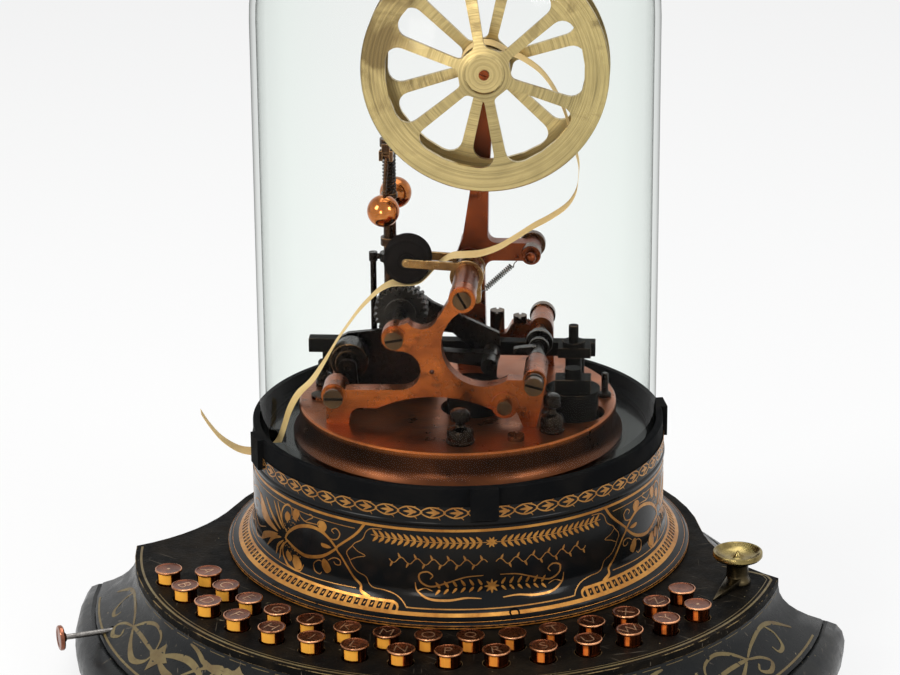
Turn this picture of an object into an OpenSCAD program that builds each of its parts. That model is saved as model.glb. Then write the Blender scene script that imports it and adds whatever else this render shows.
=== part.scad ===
// A stock ticker: a tape printer under a glass dome, on a japanned drum that stands on a keyboard base.
// Frame: origin on the drum's axis at the underside of the base, -Y towards the keys, +Z up, millimetres.

/* [Base] */
// Height of the keyboard's top face above the table
plate_top = 60; // [52:1:70]
// Thickness of the keyboard plate
plate_t = 4; // [3:0.5:5]
// Distance from the outer row of keys to the keyboard's front edge
front_margin = 21.4; // [20:0.2:26]
// Sideways place of the front edge's centre
front_x = 2; // [0:0.5:3]
// Distance of the front edge's centre in front of the drum's axis
front_y = 12; // [8:1:16]
// Angle of the keyboard's corners below the X axis
corner_deg = 7.5; // [4:0.5:12]
// Radius of the plate behind the drum
back_r = 120; // [118:1:126]
// Radius of the hollow behind each wing
wing_r = 88; // [80:1:96]
// How far the cove runs out below the plate
cove_out = 19.5; // [12:0.5:24]
// How far the foot moulding runs out
foot_out = 30.8; // [26:0.2:34]
// Height of the foot moulding's top edge
foot_top = 33.5; // [28:0.5:38]
// Wall of the base casting
skirt_wall = 7; // [5:0.5:9]
// Thickness of the bottom board
board_t = 6; // [4:0.5:8]

/* [Drum and dome] */
// Radius of the drum's wall
drum_r = 100.1; // [99:0.1:104]
// Radius of the drum's foot flange
flange_r = 113; // [108:0.5:116]
// Height of the drum above the keyboard plate
drum_h = 56; // [50:0.5:64]
// Wall of the drum
drum_wall = 6; // [4:0.5:8]
// Height of the ring that holds the dome
ring_h = 9; // [7:0.5:12]
// Height of the ring's tabs
tab_h = 15; // [12:0.5:20]
// Width of a tab
tab_w = 13; // [9:0.5:18]
// Bearing of the left tab
left_tab = 206; // [204:1:212]
// Outer radius of the glass dome
dome_r = 96; // [95:0.1:96.5]
// Wall of the glass dome
glass_t = 3; // [2:0.5:4]
// Height of the dome's straight side above the ring
dome_straight = 197; // [185:1:220]

/* [Keys] */
// Number of keys in each of the two rows
keys_row = 15; // [15:1:15]
// Distance from the drum's flange to the middle of the inner row
inner_row_gap = 19.2; // [18:0.1:22]
// Distance between the two rows
row_gap = 16.4; // [15:0.1:18]
// Angle from one key to the next in a row
key_pitch = 8.32; // [8:0.02:8.6]
// Angle by which the rows are staggered
row_stagger = 4.12; // [3.8:0.02:4.4]
// Radius of a key's cap
key_r = 6.5; // [6:0.1:6.8]
// Height of a key's cap above the plate
key_h = 7; // [6:0.5:9]
// Travel of a key
key_travel = 3; // [2:0.25:4]
// Clearance round a key in its hole
key_gap = 0.4; // [0.3:0.1:0.6]

/* [Works] */
// Turn of the works on the drum
works_turn = 4.3; // [0:0.1:8]
// Radius of the bed plate
bed_r = 76.7; // [76:0.1:80]
// Height of the bed plate's face above the drum
bed_h = 17; // [14:0.5:20]
// Front face of the front frame, along the works' depth
front_face = -40; // [-42:0.5:-38]
// Front face of the rear frame
rear_face = 45; // [43:0.5:47]
// Thickness of both frames
frame_t = 8; // [6:0.5:9]
// Place of the tie bar that joins the frames at the top
tie_x = 5; // [4:0.5:6]
// Height of the tie bar
tie_z = 63; // [61:0.5:66]
// Radius of the tie bar's barrel
tie_r = 6; // [5.4:0.1:6.2]
// Place of the escapement shaft
esc_x = 39; // [38:0.5:40]
// Height of the escapement shaft
esc_z = 23.5; // [23:0.5:25]
// Place of the type wheel's shaft
type_x = -27; // [-28:0.5:-26]
// Height of the type wheel's shaft
type_z = 43.5; // [42.5:0.5:45]
// Radius of the type wheel
type_r = 12.9; // [12:0.1:13.2]
// Number of letters on the type wheel
type_teeth = 26; // [20:1:30]
// Radius of the pressure roller
roller_r = 11.5; // [10.5:0.1:11.8]
// Width of the pressure roller
roller_w = 11; // [9:0.5:12]
// Place of the feed roller's shaft
feed_x = -52; // [-53:0.5:-51]
// Height of the feed roller's shaft
feed_z = 19; // [18:0.5:21]
// Radius of the feed roller
feed_r = 9; // [8:0.1:9.4]

/* [Reel] */
// Place of the reel's axle
reel_x = 14; // [13:0.5:15]
// Height of the reel's axle
reel_z = 164; // [160:1:168]
// Radius of the reel
reel_r = 58.3; // [54:0.1:60]
// Width of the reel's flat rim
rim_w = 11.5; // [8:0.1:13]
// Gap between the reel's two wheels
reel_gap = 12.5; // [12:0.5:14]
// Thickness of each wheel of the reel
wheel_t = 2.5; // [2:0.1:3]
// How far the front hub stands out of its rim
hub_out = 5.5; // [3:0.5:8]
// Number of spokes in each wheel
spokes = 6; // [5:1:8]
// Width of a spoke
spoke_w = 4.6; // [3:0.1:7]

/* [Governor] */
// Place of the governor's spindle across the works
gov_x = -33.7; // [-35:0.1:-33]
// Place of the governor's spindle along the depth
gov_y = 20; // [19:0.5:21]
// Height of the spindle's head above the bed plate
gov_h = 121; // [118:1:124]
// Radius of the spindle
gov_r = 3.1; // [2.5:0.1:3.4]
// Radius of a governor ball
ball_r = 7.8; // [7:0.1:8.4]
// Height of the balls' centres
ball_z = 92.2; // [91:0.1:95]
// Turn of the balls about the spindle at rest
gov_turn = -6.2; // [-20:0.1:20]
// Distance of the balls from the spindle's axis
ball_out = 15.5; // [14.5:0.5:17]

/* [Paper tape] */
// Width of the paper tape
tape_w = 11; // [9:0.5:11.5]
// Thickness of the paper tape's solid
tape_t = 0.5; // [0.4:0.1:0.7]

/* [Hidden] */
$fn = 64;
LETTERS = [for (i = [1:2 * keys_row]) str("key_", i < 10 ? "0" : "", i)];

iron = [0.09, 0.10, 0.10];
copper = [0.72, 0.36, 0.20];
brass = [0.72, 0.58, 0.30];
bronze = [0.35, 0.24, 0.15];
black = [0.06, 0.06, 0.06];
paper = [0.93, 0.83, 0.58];

inner_row_r = flange_r + inner_row_gap;  // radius of the inner row of keys
outer_row_r = inner_row_r + row_gap;     // radius of the outer row
front_r = outer_row_r + front_margin - front_y;  // radius of the keyboard's front edge
drum_top = plate_top + drum_h;          // deck that carries the works and the dome's ring
bed_top = drum_top + bed_h;             // face of the bed plate, the works' own zero
run = 0.05;                             // radial clearance of a shaft in its bearing
clear = 0.3;                            // clearance between neighbours that move apart

// ---- small helpers ----
function unit(v) = v / norm(v);
function lerp(a, b, t) = a + (b - a) * t;
function polar(r, a) = [r * cos(a), r * sin(a)];
// points of an arc about c, from angle a to angle b in n steps
function arc(c, r, a, b, n) = [for (i = [0:n]) c + polar(r, lerp(a, b, i / n))];
// one corner p1 between p0 and p2, rounded to radius r
function corner(p0, p1, p2, r, n = 5) =
    let (a = unit(p0 - p1), b = unit(p2 - p1), half = acos(max(-1, min(1, a * b))) / 2)
    r <= 0 || half > 89 ? [p1] :
    let (c = p1 + unit(a + b) * r / sin(half), s = p1 + a * r / tan(half), e = p1 + b * r / tan(half),
         a0 = atan2(s[1] - c[1], s[0] - c[0]), raw = atan2(e[1] - c[1], e[0] - c[0]) - a0,
         turn = raw > 180 ? raw - 360 : raw < -180 ? raw + 360 : raw)
    arc(c, r, a0, a0 + turn, n);
// outline through points [x, y, radius], each corner rounded
function rounded(p, n = 5) = [for (i = [0:len(p) - 1])
    let (k = len(p), q = p[i], before = p[(i + k - 1) % k], after = p[(i + 1) % k])
    each corner([before[0], before[1]], [q[0], q[1]], [after[0], after[1]], q[2], n)];

// places things on the works: x across, y into the depth, z up from the bed plate's face
module works() rotate([0, 0, works_turn]) translate([0, 0, bed_top]) children();
// a rod along the depth, its near end at y
module rod(x, z, y, l, r, r2 = -1) translate([x, y, z]) rotate([-90, 0, 0])
    cylinder(h = l, r1 = r, r2 = r2 < 0 ? r : r2);
// a flat plate in the works' x-z plane, its near face at y
module slab(y, t) translate([0, y + t, 0]) rotate([90, 0, 0]) linear_extrude(t) children();
// slotted round screw head along the depth, its face at y
module slot_head(x, z, y, l, r, turn = 0) difference() {
    rod(x, z, y, l, r);
    translate([x, y, z]) rotate([0, turn, 0]) cube([2 * r + 1, 2, 1.3], center = true);
}

// ---- the keyboard base ----
front_c = [front_x, -front_y];
corner_r = front_c + polar(front_r, -corner_deg);
corner_l = front_c + polar(front_r, 180 + corner_deg);
// centre of the hollow behind a wing: it passes through the corner and touches the back circle
function wing_centre(p, side) = let (d = back_r + wing_r, c = norm(p),
    a = acos((d * d + c * c - wing_r * wing_r) / (2 * d * c)), b = atan2(p[1], p[0])) polar(d, b + side * a);
wing_cr = wing_centre(corner_r, 1);
wing_cl = wing_centre(corner_l, -1);
// where circles about c1 and c2 meet, on the side given
function meet(c1, r1, c2, r2, side) = let (d = norm(c2 - c1), b = atan2(c2[1] - c1[1], c2[0] - c1[0]),
    a = acos((d * d + r1 * r1 - r2 * r2) / (2 * d * r1))) c1 + polar(r1, b + side * a);
function bearing(c, p) = atan2(p[1] - c[1], p[0] - c[0]);
// outline of the keyboard, moved out by e
function outline(e) =
    let (pr = meet(front_c, front_r + e, wing_cr, wing_r - e, -1),
         pl = meet(front_c, front_r + e, wing_cl, wing_r - e, 1),
         ar = bearing([0, 0], wing_cr), al = bearing([0, 0], wing_cl))
    concat(arc(front_c, front_r + e, bearing(front_c, pl) - 360 * (bearing(front_c, pl) > 0 ? 1 : 0),
               bearing(front_c, pr), 34),
        [for (i = [1:8]) wing_cr + polar(wing_r - e, lerp(bearing(wing_cr, pr), ar - 180, i / 8))],
        [for (i = [1:24]) polar(back_r + e, lerp(ar, al, i / 24))],
        [for (i = [1:8]) wing_cl + polar(wing_r - e,
            lerp(al + 180 - 360, bearing(wing_cl, pl), i / 8))]);
cove_top = plate_top - plate_t;
// outside of the skirt, top to bottom: a cove, a small bead and the rounded foot
foot_mid = foot_top * 0.54;
skirt_out = concat(
    [for (i = [0:6]) [cove_out * pow(i / 6, 2), lerp(cove_top, foot_top + 1, i / 6)]],
    [[cove_out + 0.8, foot_top - 0.2], [cove_out + 0.4, foot_top - 1.4]],
    [for (a = [75, 52, 30, 8, -15, -38, -60]) [cove_out + (foot_out - cove_out) * cos(a),
        foot_mid + (foot_mid - 3) * sin(a)]],
    [[cove_out + 1.5, 1], [cove_out, 0]]);
skirt_in = [[cove_out - skirt_wall, 0], [cove_out - skirt_wall, board_t + 0.5],
    [foot_out - skirt_wall - 6, foot_mid], [cove_out - skirt_wall, foot_top - 4],
    [3 - skirt_wall, lerp(cove_top, foot_top, 0.45)], [1.5 - skirt_wall, cove_top]];
skirt_rings = concat(skirt_out, skirt_in);
plunger_deg = 207.2;
plunger_z = plate_top - 24;
plunger_r = 1.35;
plunger_at = front_c + polar(front_r + cove_out + 0.17, 203.453);
module plunger_line() translate([plunger_at[0], plunger_at[1], plunger_z])
    rotate([0, 0, plunger_deg]) rotate([0, 90, 0]) children();
module base_skirt() color(iron) difference() {
    let (n = len(outline(0)), m = len(skirt_rings))
    polyhedron(points = [for (s = skirt_rings) each [for (p = outline(s[0])) [p[0], p[1], s[1]]]],
        faces = [for (j = [0:m - 1]) each [for (i = [0:n - 1])
            let (a = j * n + i, b = j * n + (i + 1) % n, c = ((j + 1) % m) * n + (i + 1) % n,
                 d = ((j + 1) % m) * n + i) each [[a, b, c], [a, c, d]]]]);
    plunger_line() translate([0, 0, -40]) cylinder(h = 60, r = plunger_r + 0.6, $fn = 24);
}
function key_at(i) = i < keys_row
    ? polar(outer_row_r, -90 + (i - (keys_row - 1) / 2) * key_pitch - row_stagger / 2)
    : polar(inner_row_r, -90 + (i - keys_row - (keys_row - 1) / 2) * key_pitch + row_stagger / 2);
knob_at = front_c + polar(front_r - 17.87, -11.526);
knob_stem_r = 5.2;
key_body_r = key_r - 0.8;
module keyboard_plate() color(iron) translate([0, 0, plate_top - plate_t]) difference() {
    linear_extrude(plate_t) polygon(outline(0));
    translate([0, 0, -1]) cylinder(h = plate_t + 2, r = drum_r - drum_wall);
    for (i = [0:2 * keys_row - 1]) translate([key_at(i)[0], key_at(i)[1], -1])
        cylinder(h = plate_t + 2, r = key_body_r + key_gap, $fn = 32);
    translate([knob_at[0], knob_at[1], -1]) cylinder(h = plate_t + 2, r = 2.5 + run, $fn = 32);
}
module bottom_board() color("saddlebrown") linear_extrude(board_t)
    polygon(outline(cove_out - skirt_wall - 0.5));

// ---- the drum, the ring and the dome ----
tape_deg = 193.2;                        // where the tape leaves the drum
deck_t = 5;
slot_w = 18;
slot_top = drum_top - 3;
slot_h = 12.6;
// the slot through the drum's wall, and the one in its deck that the tape comes down through
module tape_slots() rotate([0, 0, tape_deg]) {
    translate([drum_r - 18, -slot_w / 2, slot_top - slot_h]) cube([30, slot_w, slot_h]);
    translate([bed_r + 7, -slot_w / 2, slot_top - slot_h]) cube([8, slot_w, slot_h + 4]);
}
module pedestal_drum() color(iron) difference() {
    rotate_extrude($fn = 128) polygon(concat(
        [[drum_r - drum_wall, plate_top], [flange_r - 0.8, plate_top], [flange_r, plate_top + 0.8],
         [flange_r, plate_top + 2.2], [flange_r - 1, plate_top + 3.2]],
        [for (i = [0:6]) let (t = i / 6) [lerp(flange_r - 2.5, drum_r, 1 - pow(1 - t, 1.7)),
            plate_top + 3.4 + 11.6 * pow(t, 1.3)]],
        [[drum_r, drum_top], [0, drum_top], [0, drum_top - deck_t],
         [drum_r - drum_wall - 3, drum_top - deck_t], [drum_r - drum_wall, drum_top - deck_t - 3]]));
    tape_slots();
}
ring_r = drum_r - 0.6;
seat_r = dome_r + clear;
seat_z = drum_top + 2.3;
module dome_ring() color(black) {
    rotate_extrude($fn = 128) polygon([[dome_r - glass_t - 1, drum_top], [ring_r, drum_top],
        [ring_r, drum_top + ring_h - 0.6], [ring_r - 0.6, drum_top + ring_h],
        [seat_r, drum_top + ring_h], [seat_r, seat_z], [dome_r - glass_t - 1, seat_z]]);
    for (a = [-75, 15, 105, left_tab]) rotate([0, 0, a])
        difference() {
            translate([seat_r + 0.4, -tab_w / 2, drum_top + ring_h - tab_h])
                cube([drum_r + 2.2 - seat_r - 0.4, tab_w, tab_h]);
            translate([0, 0, drum_top - tab_h]) cylinder(h = tab_h, r = drum_r + 0.05, $fn = 128);
        }
}
module glass_dome() color([0.8, 0.9, 0.88, 0.25]) {
    z0 = seat_z + 0.1;
    z1 = drum_top + ring_h + dome_straight;
    rotate_extrude($fn = 96) difference() {
        union() {
            translate([0, z1]) circle(r = dome_r);
            translate([0, z0]) square([dome_r, z1 - z0]);
        }
        translate([0, z1]) circle(r = dome_r - glass_t);
        translate([-1, z0 - 1]) square([dome_r - glass_t + 1, z1 - z0 + 1]);
        translate([-2 * dome_r, 0]) square([2 * dome_r, 3 * z1]);
        translate([-dome_r, -3 * z1]) square([3 * dome_r, 3 * z1 + z0]);
    }
}

// ---- the bed plate and the frames ----
coils = [[56.5, -18.5, 13], [8.5, -14, 13.5]];  // x, y and radius of each magnet coil
recess_d = 6;
coil_gap = 2.2;
module bed_plate() color(copper) difference() {
    translate([0, 0, drum_top]) rotate_extrude($fn = 128) polygon([[0, 0], [bed_r + 3.2, 0],
        [bed_r + 3.2, 2], [bed_r + 1.9, 3.4], [bed_r + 0.9, 5.2], [bed_r + 0.2, 7.6],
        [bed_r, bed_h - 0.8], [bed_r - 0.8, bed_h], [0, bed_h]]);
    works() for (c = coils) translate([c[0], c[1], -recess_d])
        cylinder(h = recess_d + 1, r = c[2] + coil_gap);
}
foot_l = [-59.8, -49.1];
window = 20;                              // radius of the frame's big round window
// the front frame's face: left bar and foot, a waist with two windows, arms to the bosses
module frame_face() difference() {
    union() {
        polygon(rounded([[foot_l[0], 0, 0], [foot_l[1], 0, 0], [foot_l[1] + 1, 8.2, 5],
            [esc_x - 8.7, 8, 2], [esc_x - 5.2, 0, 0], [esc_x + 0.8, 0, 0], [esc_x + 5, esc_z - 4, 3],
            [esc_x + 4, esc_z, 1], [tie_x + 14, esc_z, 3], [tie_x + 13, 40, 0], [tie_x - 3, 52, 0],
            [tie_x + 5.3, tie_z - 2, 0], [tie_x + 2, tie_z + 5, 0], [tie_x - 5.3, tie_z + 1, 0],
            [-6, 54, 0], [-14, 55, 0], [type_x + 7, type_z + 8, 2], [type_x - 5, type_z + 3, 1],
            [type_x - 4.5, type_z - 4, 1], [-24, 36, 0], [-24, 17.6, 0], [foot_l[1] - 2, 17.2, 2],
            [foot_l[0], 16, 2]], 6));
        translate([-56, 14.5]) circle(r = 6);
        translate([type_x, type_z]) circle(r = 6.2);
        translate([tie_x, tie_z]) circle(r = 6.4);
        translate([esc_x, esc_z]) circle(r = 5.6);
        translate([25, 11]) circle(r = 6.4);
    }
    translate([tie_x + 10, 40]) circle(r = window, $fn = 96);
    translate([-24.5, 27.3]) circle(r = 9.7);
    translate([-14.3, 56]) circle(r = 8);
    translate([-8, -50]) circle(r = 64.4, $fn = 160);
    translate([-9.4, 26.9]) circle(r = 1.2, $fn = 24);
}
barrel_back = -16;
pivot_r = 1.6;
module front_frame() color(copper) works() difference() {
    union() {
        slab(front_face, frame_t) frame_face();
        rod(-56, 14.5, front_face - 1, 15, 6);
        rod(type_x, type_z, front_face - 1, 12, 5.6);
        rod(tie_x, tie_z, front_face - 1, frame_t + 1, 6.2);
        rod(esc_x, esc_z, front_face - 1, barrel_back - front_face + 1, 5.5);
        rod(25, 11, front_face - 1, frame_t + 1, 6.4);
    }
    rod(type_x, type_z, front_face - 2, 20, pivot_r + run);
    rod(esc_x, esc_z, front_face - 2, 40, pivot_r + run);
    rod(tie_x, tie_z, front_face - 2, 20, 2.5);
}
rear_back = rear_face + frame_t;
hump_x = 28;
hump_z = esc_z - 1.5;
ledge_x = tie_x + 11.7;
ledge_z = esc_z - 7;
module rear_frame() color(copper) works() difference() {
    union() {
        slab(rear_face, frame_t) polygon(rounded([[tie_x - 8, 0, 0], [tie_x + 7, 0, 0],
            [tie_x + 8, 9, 4], [esc_x - 5, 9, 4], [esc_x - 4, 0, 0], [esc_x + 6, 0, 0],
            [esc_x + 5.5, esc_z, 2], [esc_x, esc_z + 4, 3], [esc_x - 6, hump_z - 3, 2],
            [hump_x + 4, hump_z, 1], [hump_x - 4, hump_z, 1], [ledge_x + 4.5, ledge_z, 2],
            [ledge_x - 5.5, ledge_z, 1.5],
            [tie_x + 5.4, tie_z, 0], [tie_x - 5.4, tie_z, 0], [tie_x - 6.5, 20, 6]], 6));
        rod(tie_x, tie_z, rear_face, frame_t, 6.4);
        rod(esc_x, esc_z, rear_face - 10, frame_t + 11, 5.6);
    }
    rod(tie_x, tie_z, rear_face - 1, frame_t + 2, 2.5);
    rod(esc_x, esc_z, rear_face - 11, 30, pivot_r + run);
}
post_y = 17;                              // front face of the reel's post
post_t = 8;
knob_x = 35;
knob_z = 69;
axle_r = 2.4;
module reel_bracket() color(bronze) works() difference() {
    union() {
        slab(post_y, post_t) polygon(rounded([[tie_x - 6.4, tie_z - 3, 2], [tie_x + 6.5, tie_z - 6, 3],
            [tie_x + 9, tie_z + 1, 4], [knob_x, knob_z - 5, 0], [knob_x, knob_z + 4, 0],
            [tie_x + 8.8, tie_z + 10, 4], [tie_x + 9.2, tie_z + 38, 0], [reel_x + 4.2, reel_z, 0],
            [reel_x, reel_z + 4.2, 0], [reel_x - 4.2, reel_z, 0], [tie_x + 1, tie_z + 40, 0],
            [tie_x - 3.4, tie_z + 12, 3], [tie_x - 6.6, tie_z + 3, 2]], 5));
        rod(tie_x, tie_z, front_face + frame_t, rear_face - front_face - frame_t, tie_r);
        rod(tie_x, tie_z, post_y - 2, post_t + 2, tie_r + 1.4);
        rod(knob_x, knob_z, post_y - 7, post_t + 9, 4.6);
        rod(knob_x, knob_z, post_y + post_t + 2, 4, 6);
        rod(knob_x, knob_z, post_y - 10, 4, 1.5);
        rod(pin_at[0], pin_at[1], post_y - 4, 5, 0.8);
        translate([knob_x, post_y - 10, knob_z]) sphere(r = 2.6);
        rod(reel_x, reel_z, reel_back + clear, post_y - reel_back - clear + 1, 4.6);
        rod(reel_x, reel_z, reel_front - hub_out - 1.2, post_y - reel_front + hub_out + 2, axle_r);
    }
    translate([reel_x, reel_front - hub_out - 1.2, reel_z]) rotate([0, 20, 0])
        cube([8, 1.4, 0.7], center = true);
}

// ---- the reel and its tape ----
tape_y = 2.2;                             // middle of the tape's width along the depth
reel_front = tape_y - reel_gap / 2 - wheel_t;
reel_back = tape_y + reel_gap / 2 + wheel_t;
core_r = 11.4;
hub_r = 9.6;
// one window between two spokes, its corners rounded
function window_points() = let (r1 = hub_r + 3.4, r2 = reel_r - rim_w, step = 360 / spokes,
    s1 = asin(spoke_w / 2 / r1), s2 = asin((spoke_w / 2 + 0.6) / r2), a = s2, b = step - s2)
    rounded(concat([[for (k = [0:1]) polar(r1, s1)[k], 3.2]],
        [[r2 * cos(a), r2 * sin(a), 5.8]],
        [for (t = [1:4]) let (q = polar(r2, lerp(a, b, t / 5))) [q[0], q[1], 0]],
        [[r2 * cos(b), r2 * sin(b), 5.8]],
        [[r1 * cos(step - s1), r1 * sin(step - s1), 3.2]]), 5);
module windows(turn, y, t) for (i = [0:spokes - 1]) translate([reel_x, y, reel_z])
    rotate([-90, 0, 0]) rotate([0, 0, turn + 360 / spokes * i])
    linear_extrude(t) polygon(window_points());
module tape_reel() color(brass) works() difference() {
    translate([reel_x, 0, reel_z]) rotate([-90, 0, 0]) rotate_extrude($fn = 96) polygon([
        [axle_r + run, reel_front - hub_out], [hub_r - 1, reel_front - hub_out],
        [hub_r, reel_front - hub_out + 1], [reel_r - rim_w, reel_front], [reel_r - 0.5, reel_front],
        [reel_r, reel_front + 0.5], [reel_r, reel_front + wheel_t],
        [reel_r - rim_w, reel_front + wheel_t], [hub_r + 8, reel_front + wheel_t - hub_out * 0.7],
        [core_r, reel_front + wheel_t - hub_out * 0.7], [core_r, reel_back - wheel_t],
        [reel_r, reel_back - wheel_t], [reel_r, reel_back - 0.5], [reel_r - 0.5, reel_back],
        [axle_r + run, reel_back]]);
    windows(-100, reel_front - hub_out - 1, hub_out + wheel_t + 1.5);
    windows(-77, reel_back - wheel_t - 1, wheel_t + 2);
}
// ---- the printing works ----
roller_rise = 83;                         // direction from the type wheel's shaft to the roller's
nip = 1.6;                                // gap between the roller and the type wheel, for the tape
roller_at = [type_x, type_z] + polar(type_r + roller_r + nip, roller_rise);
roller_y = tape_y - roller_w / 2 - 0.4;
fork_t = 1.6;
arm_clear = 0.8;
hub_gap = 0.08;
// one plate of the fork, from the tie bar's barrel to the roller's pin
fork_half = 2.1;                          // half of the height of the fork's bars
module fork_plate(y) slab(y, fork_t) difference() {
    union() {
        translate([tie_x, tie_z]) circle(r = tie_r + 2.1);
        polygon(concat(
            [[tie_x - 2, tie_z + 2.6], [tie_x - 2, tie_z + 2.6 + 2 * fork_half]],
            [for (a = [80:20:260]) roller_at + polar(fork_half, a)]));
    }
    translate([tie_x, tie_z]) circle(r = tie_r + hub_gap);
}
fork_front = roller_y - arm_clear - fork_t;
fork_back = roller_y + roller_w + arm_clear;
module roller_arm() color(brass) works() difference() {
    union() {
        fork_plate(fork_front);
        fork_plate(fork_back);
        rod(tie_x, tie_z, fork_front, fork_back + fork_t - fork_front, tie_r + 1.5);
        rod(roller_at[0], roller_at[1], fork_front - 1, fork_back - fork_front + fork_t + 1.6, 1.5);
        slab(2, 5) polygon(rounded([[tie_x + 1, tie_z - 6.4, 0], [tie_x + 6.4, tie_z - 2, 0],
            [tie_x + 6.4, tie_z - 16, 1.6], [tie_x + 2.6, tie_z - 16, 1.6]], 4));
        rod(tie_x + 4.5, tie_z - 13.6, 6.5, 3.4, 0.8);
    }
    rod(tie_x, tie_z, fork_front - 1, 30, tie_r + hub_gap);
}
module pressure_roller() color(black) works() translate([roller_at[0], roller_y, roller_at[1]])
    rotate([-90, 0, 0]) rotate_extrude($fn = 72) polygon([[1.5 + run, 0], [roller_r - 0.7, 0],
        [roller_r - 0.7, 1.4], [roller_r, 2], [roller_r, roller_w - 2],
        [roller_r - 0.7, roller_w - 1.4], [roller_r - 0.7, roller_w], [1.5 + run, roller_w]]);
bracket_y = 10.5;                         // near face of the upright behind the wheels
bracket_t = 3;
module gear_face(r, depth, n) polygon([for (i = [0:n - 1]) each let (s = 360 / n) [
    polar(r - depth, s * i), polar(r, s * (i + 0.2)), polar(r, s * (i + 0.6)),
    polar(r - depth, s * (i + 0.8))]]);
module type_wheel() color(black) works() {
    rod(type_x, type_z, front_face + 4, bracket_y + bracket_t - front_face - 4.5, pivot_r);
    rod(type_x, type_z, front_face + 15, -front_face - 19.5, 3.4);
    rod(type_x, type_z, -5, 14, 5);
    for (y = [-3.6, 3]) translate([type_x, y, type_z]) rotate([-90, 0, 0])
        linear_extrude(5) gear_face(type_r, 1.5, type_teeth);
    rod(type_x, type_z, 1, 3, type_r - 3);
    rod(type_x, type_z, -5.2, 2, 7.5);
}
module feed_roller() color(bronze) works() {
    rod(feed_x, feed_z, -14.5, bracket_y + bracket_t + 14, pivot_r);
    rod(feed_x, feed_z, -6, 13, feed_r);
    rod(feed_x, feed_z, -8.5, 3, feed_r - 2.5);
    rod(feed_x, feed_z, 6.5, 2, feed_r - 4);
}
step_h = 7;
eye_z = 64.5;
wire_x = -42;
module works_bracket() color(black) works() difference() {
    union() {
        slab(bracket_y, bracket_t) polygon(rounded([[-61.5, 0, 0], [-10, 0, 0], [-11, 8, 4],
            [-13, 30, 3], [tie_x - 8, 29, 0], [tie_x + 8, 15, 2], [tie_x + 15, 15, 2],
            [tie_x + 15, 29, 2],
            [-12, 44, 6], [type_x + 6, type_z + 7, 4], [type_x - 7, type_z + 7, 4],
            [type_x - 9, 30, 5], [feed_x - 2, feed_z + 9, 4], [feed_x - 9, feed_z + 5, 4],
            [-61, 8, 3]], 4));
        translate([-60, bracket_y + 1, 0]) cube([44, 11, 3.2]);
        rod(type_x, type_z, bracket_y - 1, bracket_t + 3, 3.6);
        rod(feed_x, feed_z, bracket_y - 1, bracket_t + 3, 3.6);
        translate([gov_x, gov_y, 0]) cylinder(h = step_h, r = gov_r + 4.2);
        translate([wire_x, gov_y, 0]) cylinder(h = eye_z, r = 1.5, $fn = 24);
        translate([wire_x, gov_y, 0]) cylinder(h = 5, r = 3.2);
        translate([wire_x, gov_y, eye_z - 2.2]) cylinder(h = 4.4, r = 2.1, $fn = 24);
        translate([wire_x, gov_y, eye_z]) rotate([0, 90, 0])
            cylinder(h = gov_x - wire_x - gov_r - 1, r = 1.4, $fn = 24);
        translate([gov_x, gov_y, eye_z - 2]) cylinder(h = 4, r = gov_r + 2);
        rod(lever_at[0], lever_at[1], -14, bracket_y + 15, pivot_r);
        slab(-15, 2.6) polygon(rounded([[feed_x - 8, 0, 0], [feed_x + 8, 0, 0], [feed_x + 5, 9, 3],
            [feed_x + 4, feed_z + 4, 3], [feed_x - 4, feed_z + 4, 3], [feed_x - 5, 9, 3]], 4));
        translate([feed_x - 8, -20, 0]) cube([16, bracket_y + 20.5, 2.6]);
    }
    rod(type_x, type_z, 0, 30, pivot_r + run);
    rod(feed_x, feed_z, -20, 50, pivot_r + run);
    translate([gov_x, gov_y, 3]) cylinder(h = gov_h, r = gov_r + run);
}
bar_y = 24;
bar_z = 13;
bar_l = -75;
bar_r = 66;
module electromagnets() color(black) works() {
    for (c = coils) translate([c[0], c[1], -recess_d]) {
        cylinder(h = recess_d + bar_z - 1, r = c[2] - 0.8);
        cylinder(h = 1.6, r = c[2]);
        translate([0, 0, recess_d + bar_z - 2]) cylinder(h = 1.6, r = c[2]);
    }
    translate([48, -25.5, bar_z - 0.8]) cube([17, 11, 6.3]);
    translate([56.5, -20, bar_z + 4]) cylinder(h = 6, r = 4);
    translate([bar_l, bar_y, bar_z]) cube([bar_r - bar_l, 7, 7]);
    for (x = [bar_l + 9, 15, bar_r - 8]) translate([x, bar_y + 3.5, 0]) cylinder(h = bar_z, r = 2.6);
    translate([48, 14, bar_z + 2.5]) cube([16, 12, 5]);
    translate([55.5, 19, bar_z + 7]) cylinder(h = 3, r = 5.5);
    translate([55.5, 19, bar_z + 10]) cylinder(h = 8, r = 2.4);
    translate([55.5, 19, 0]) cylinder(h = bar_z + 4, r = 4);
}
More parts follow.
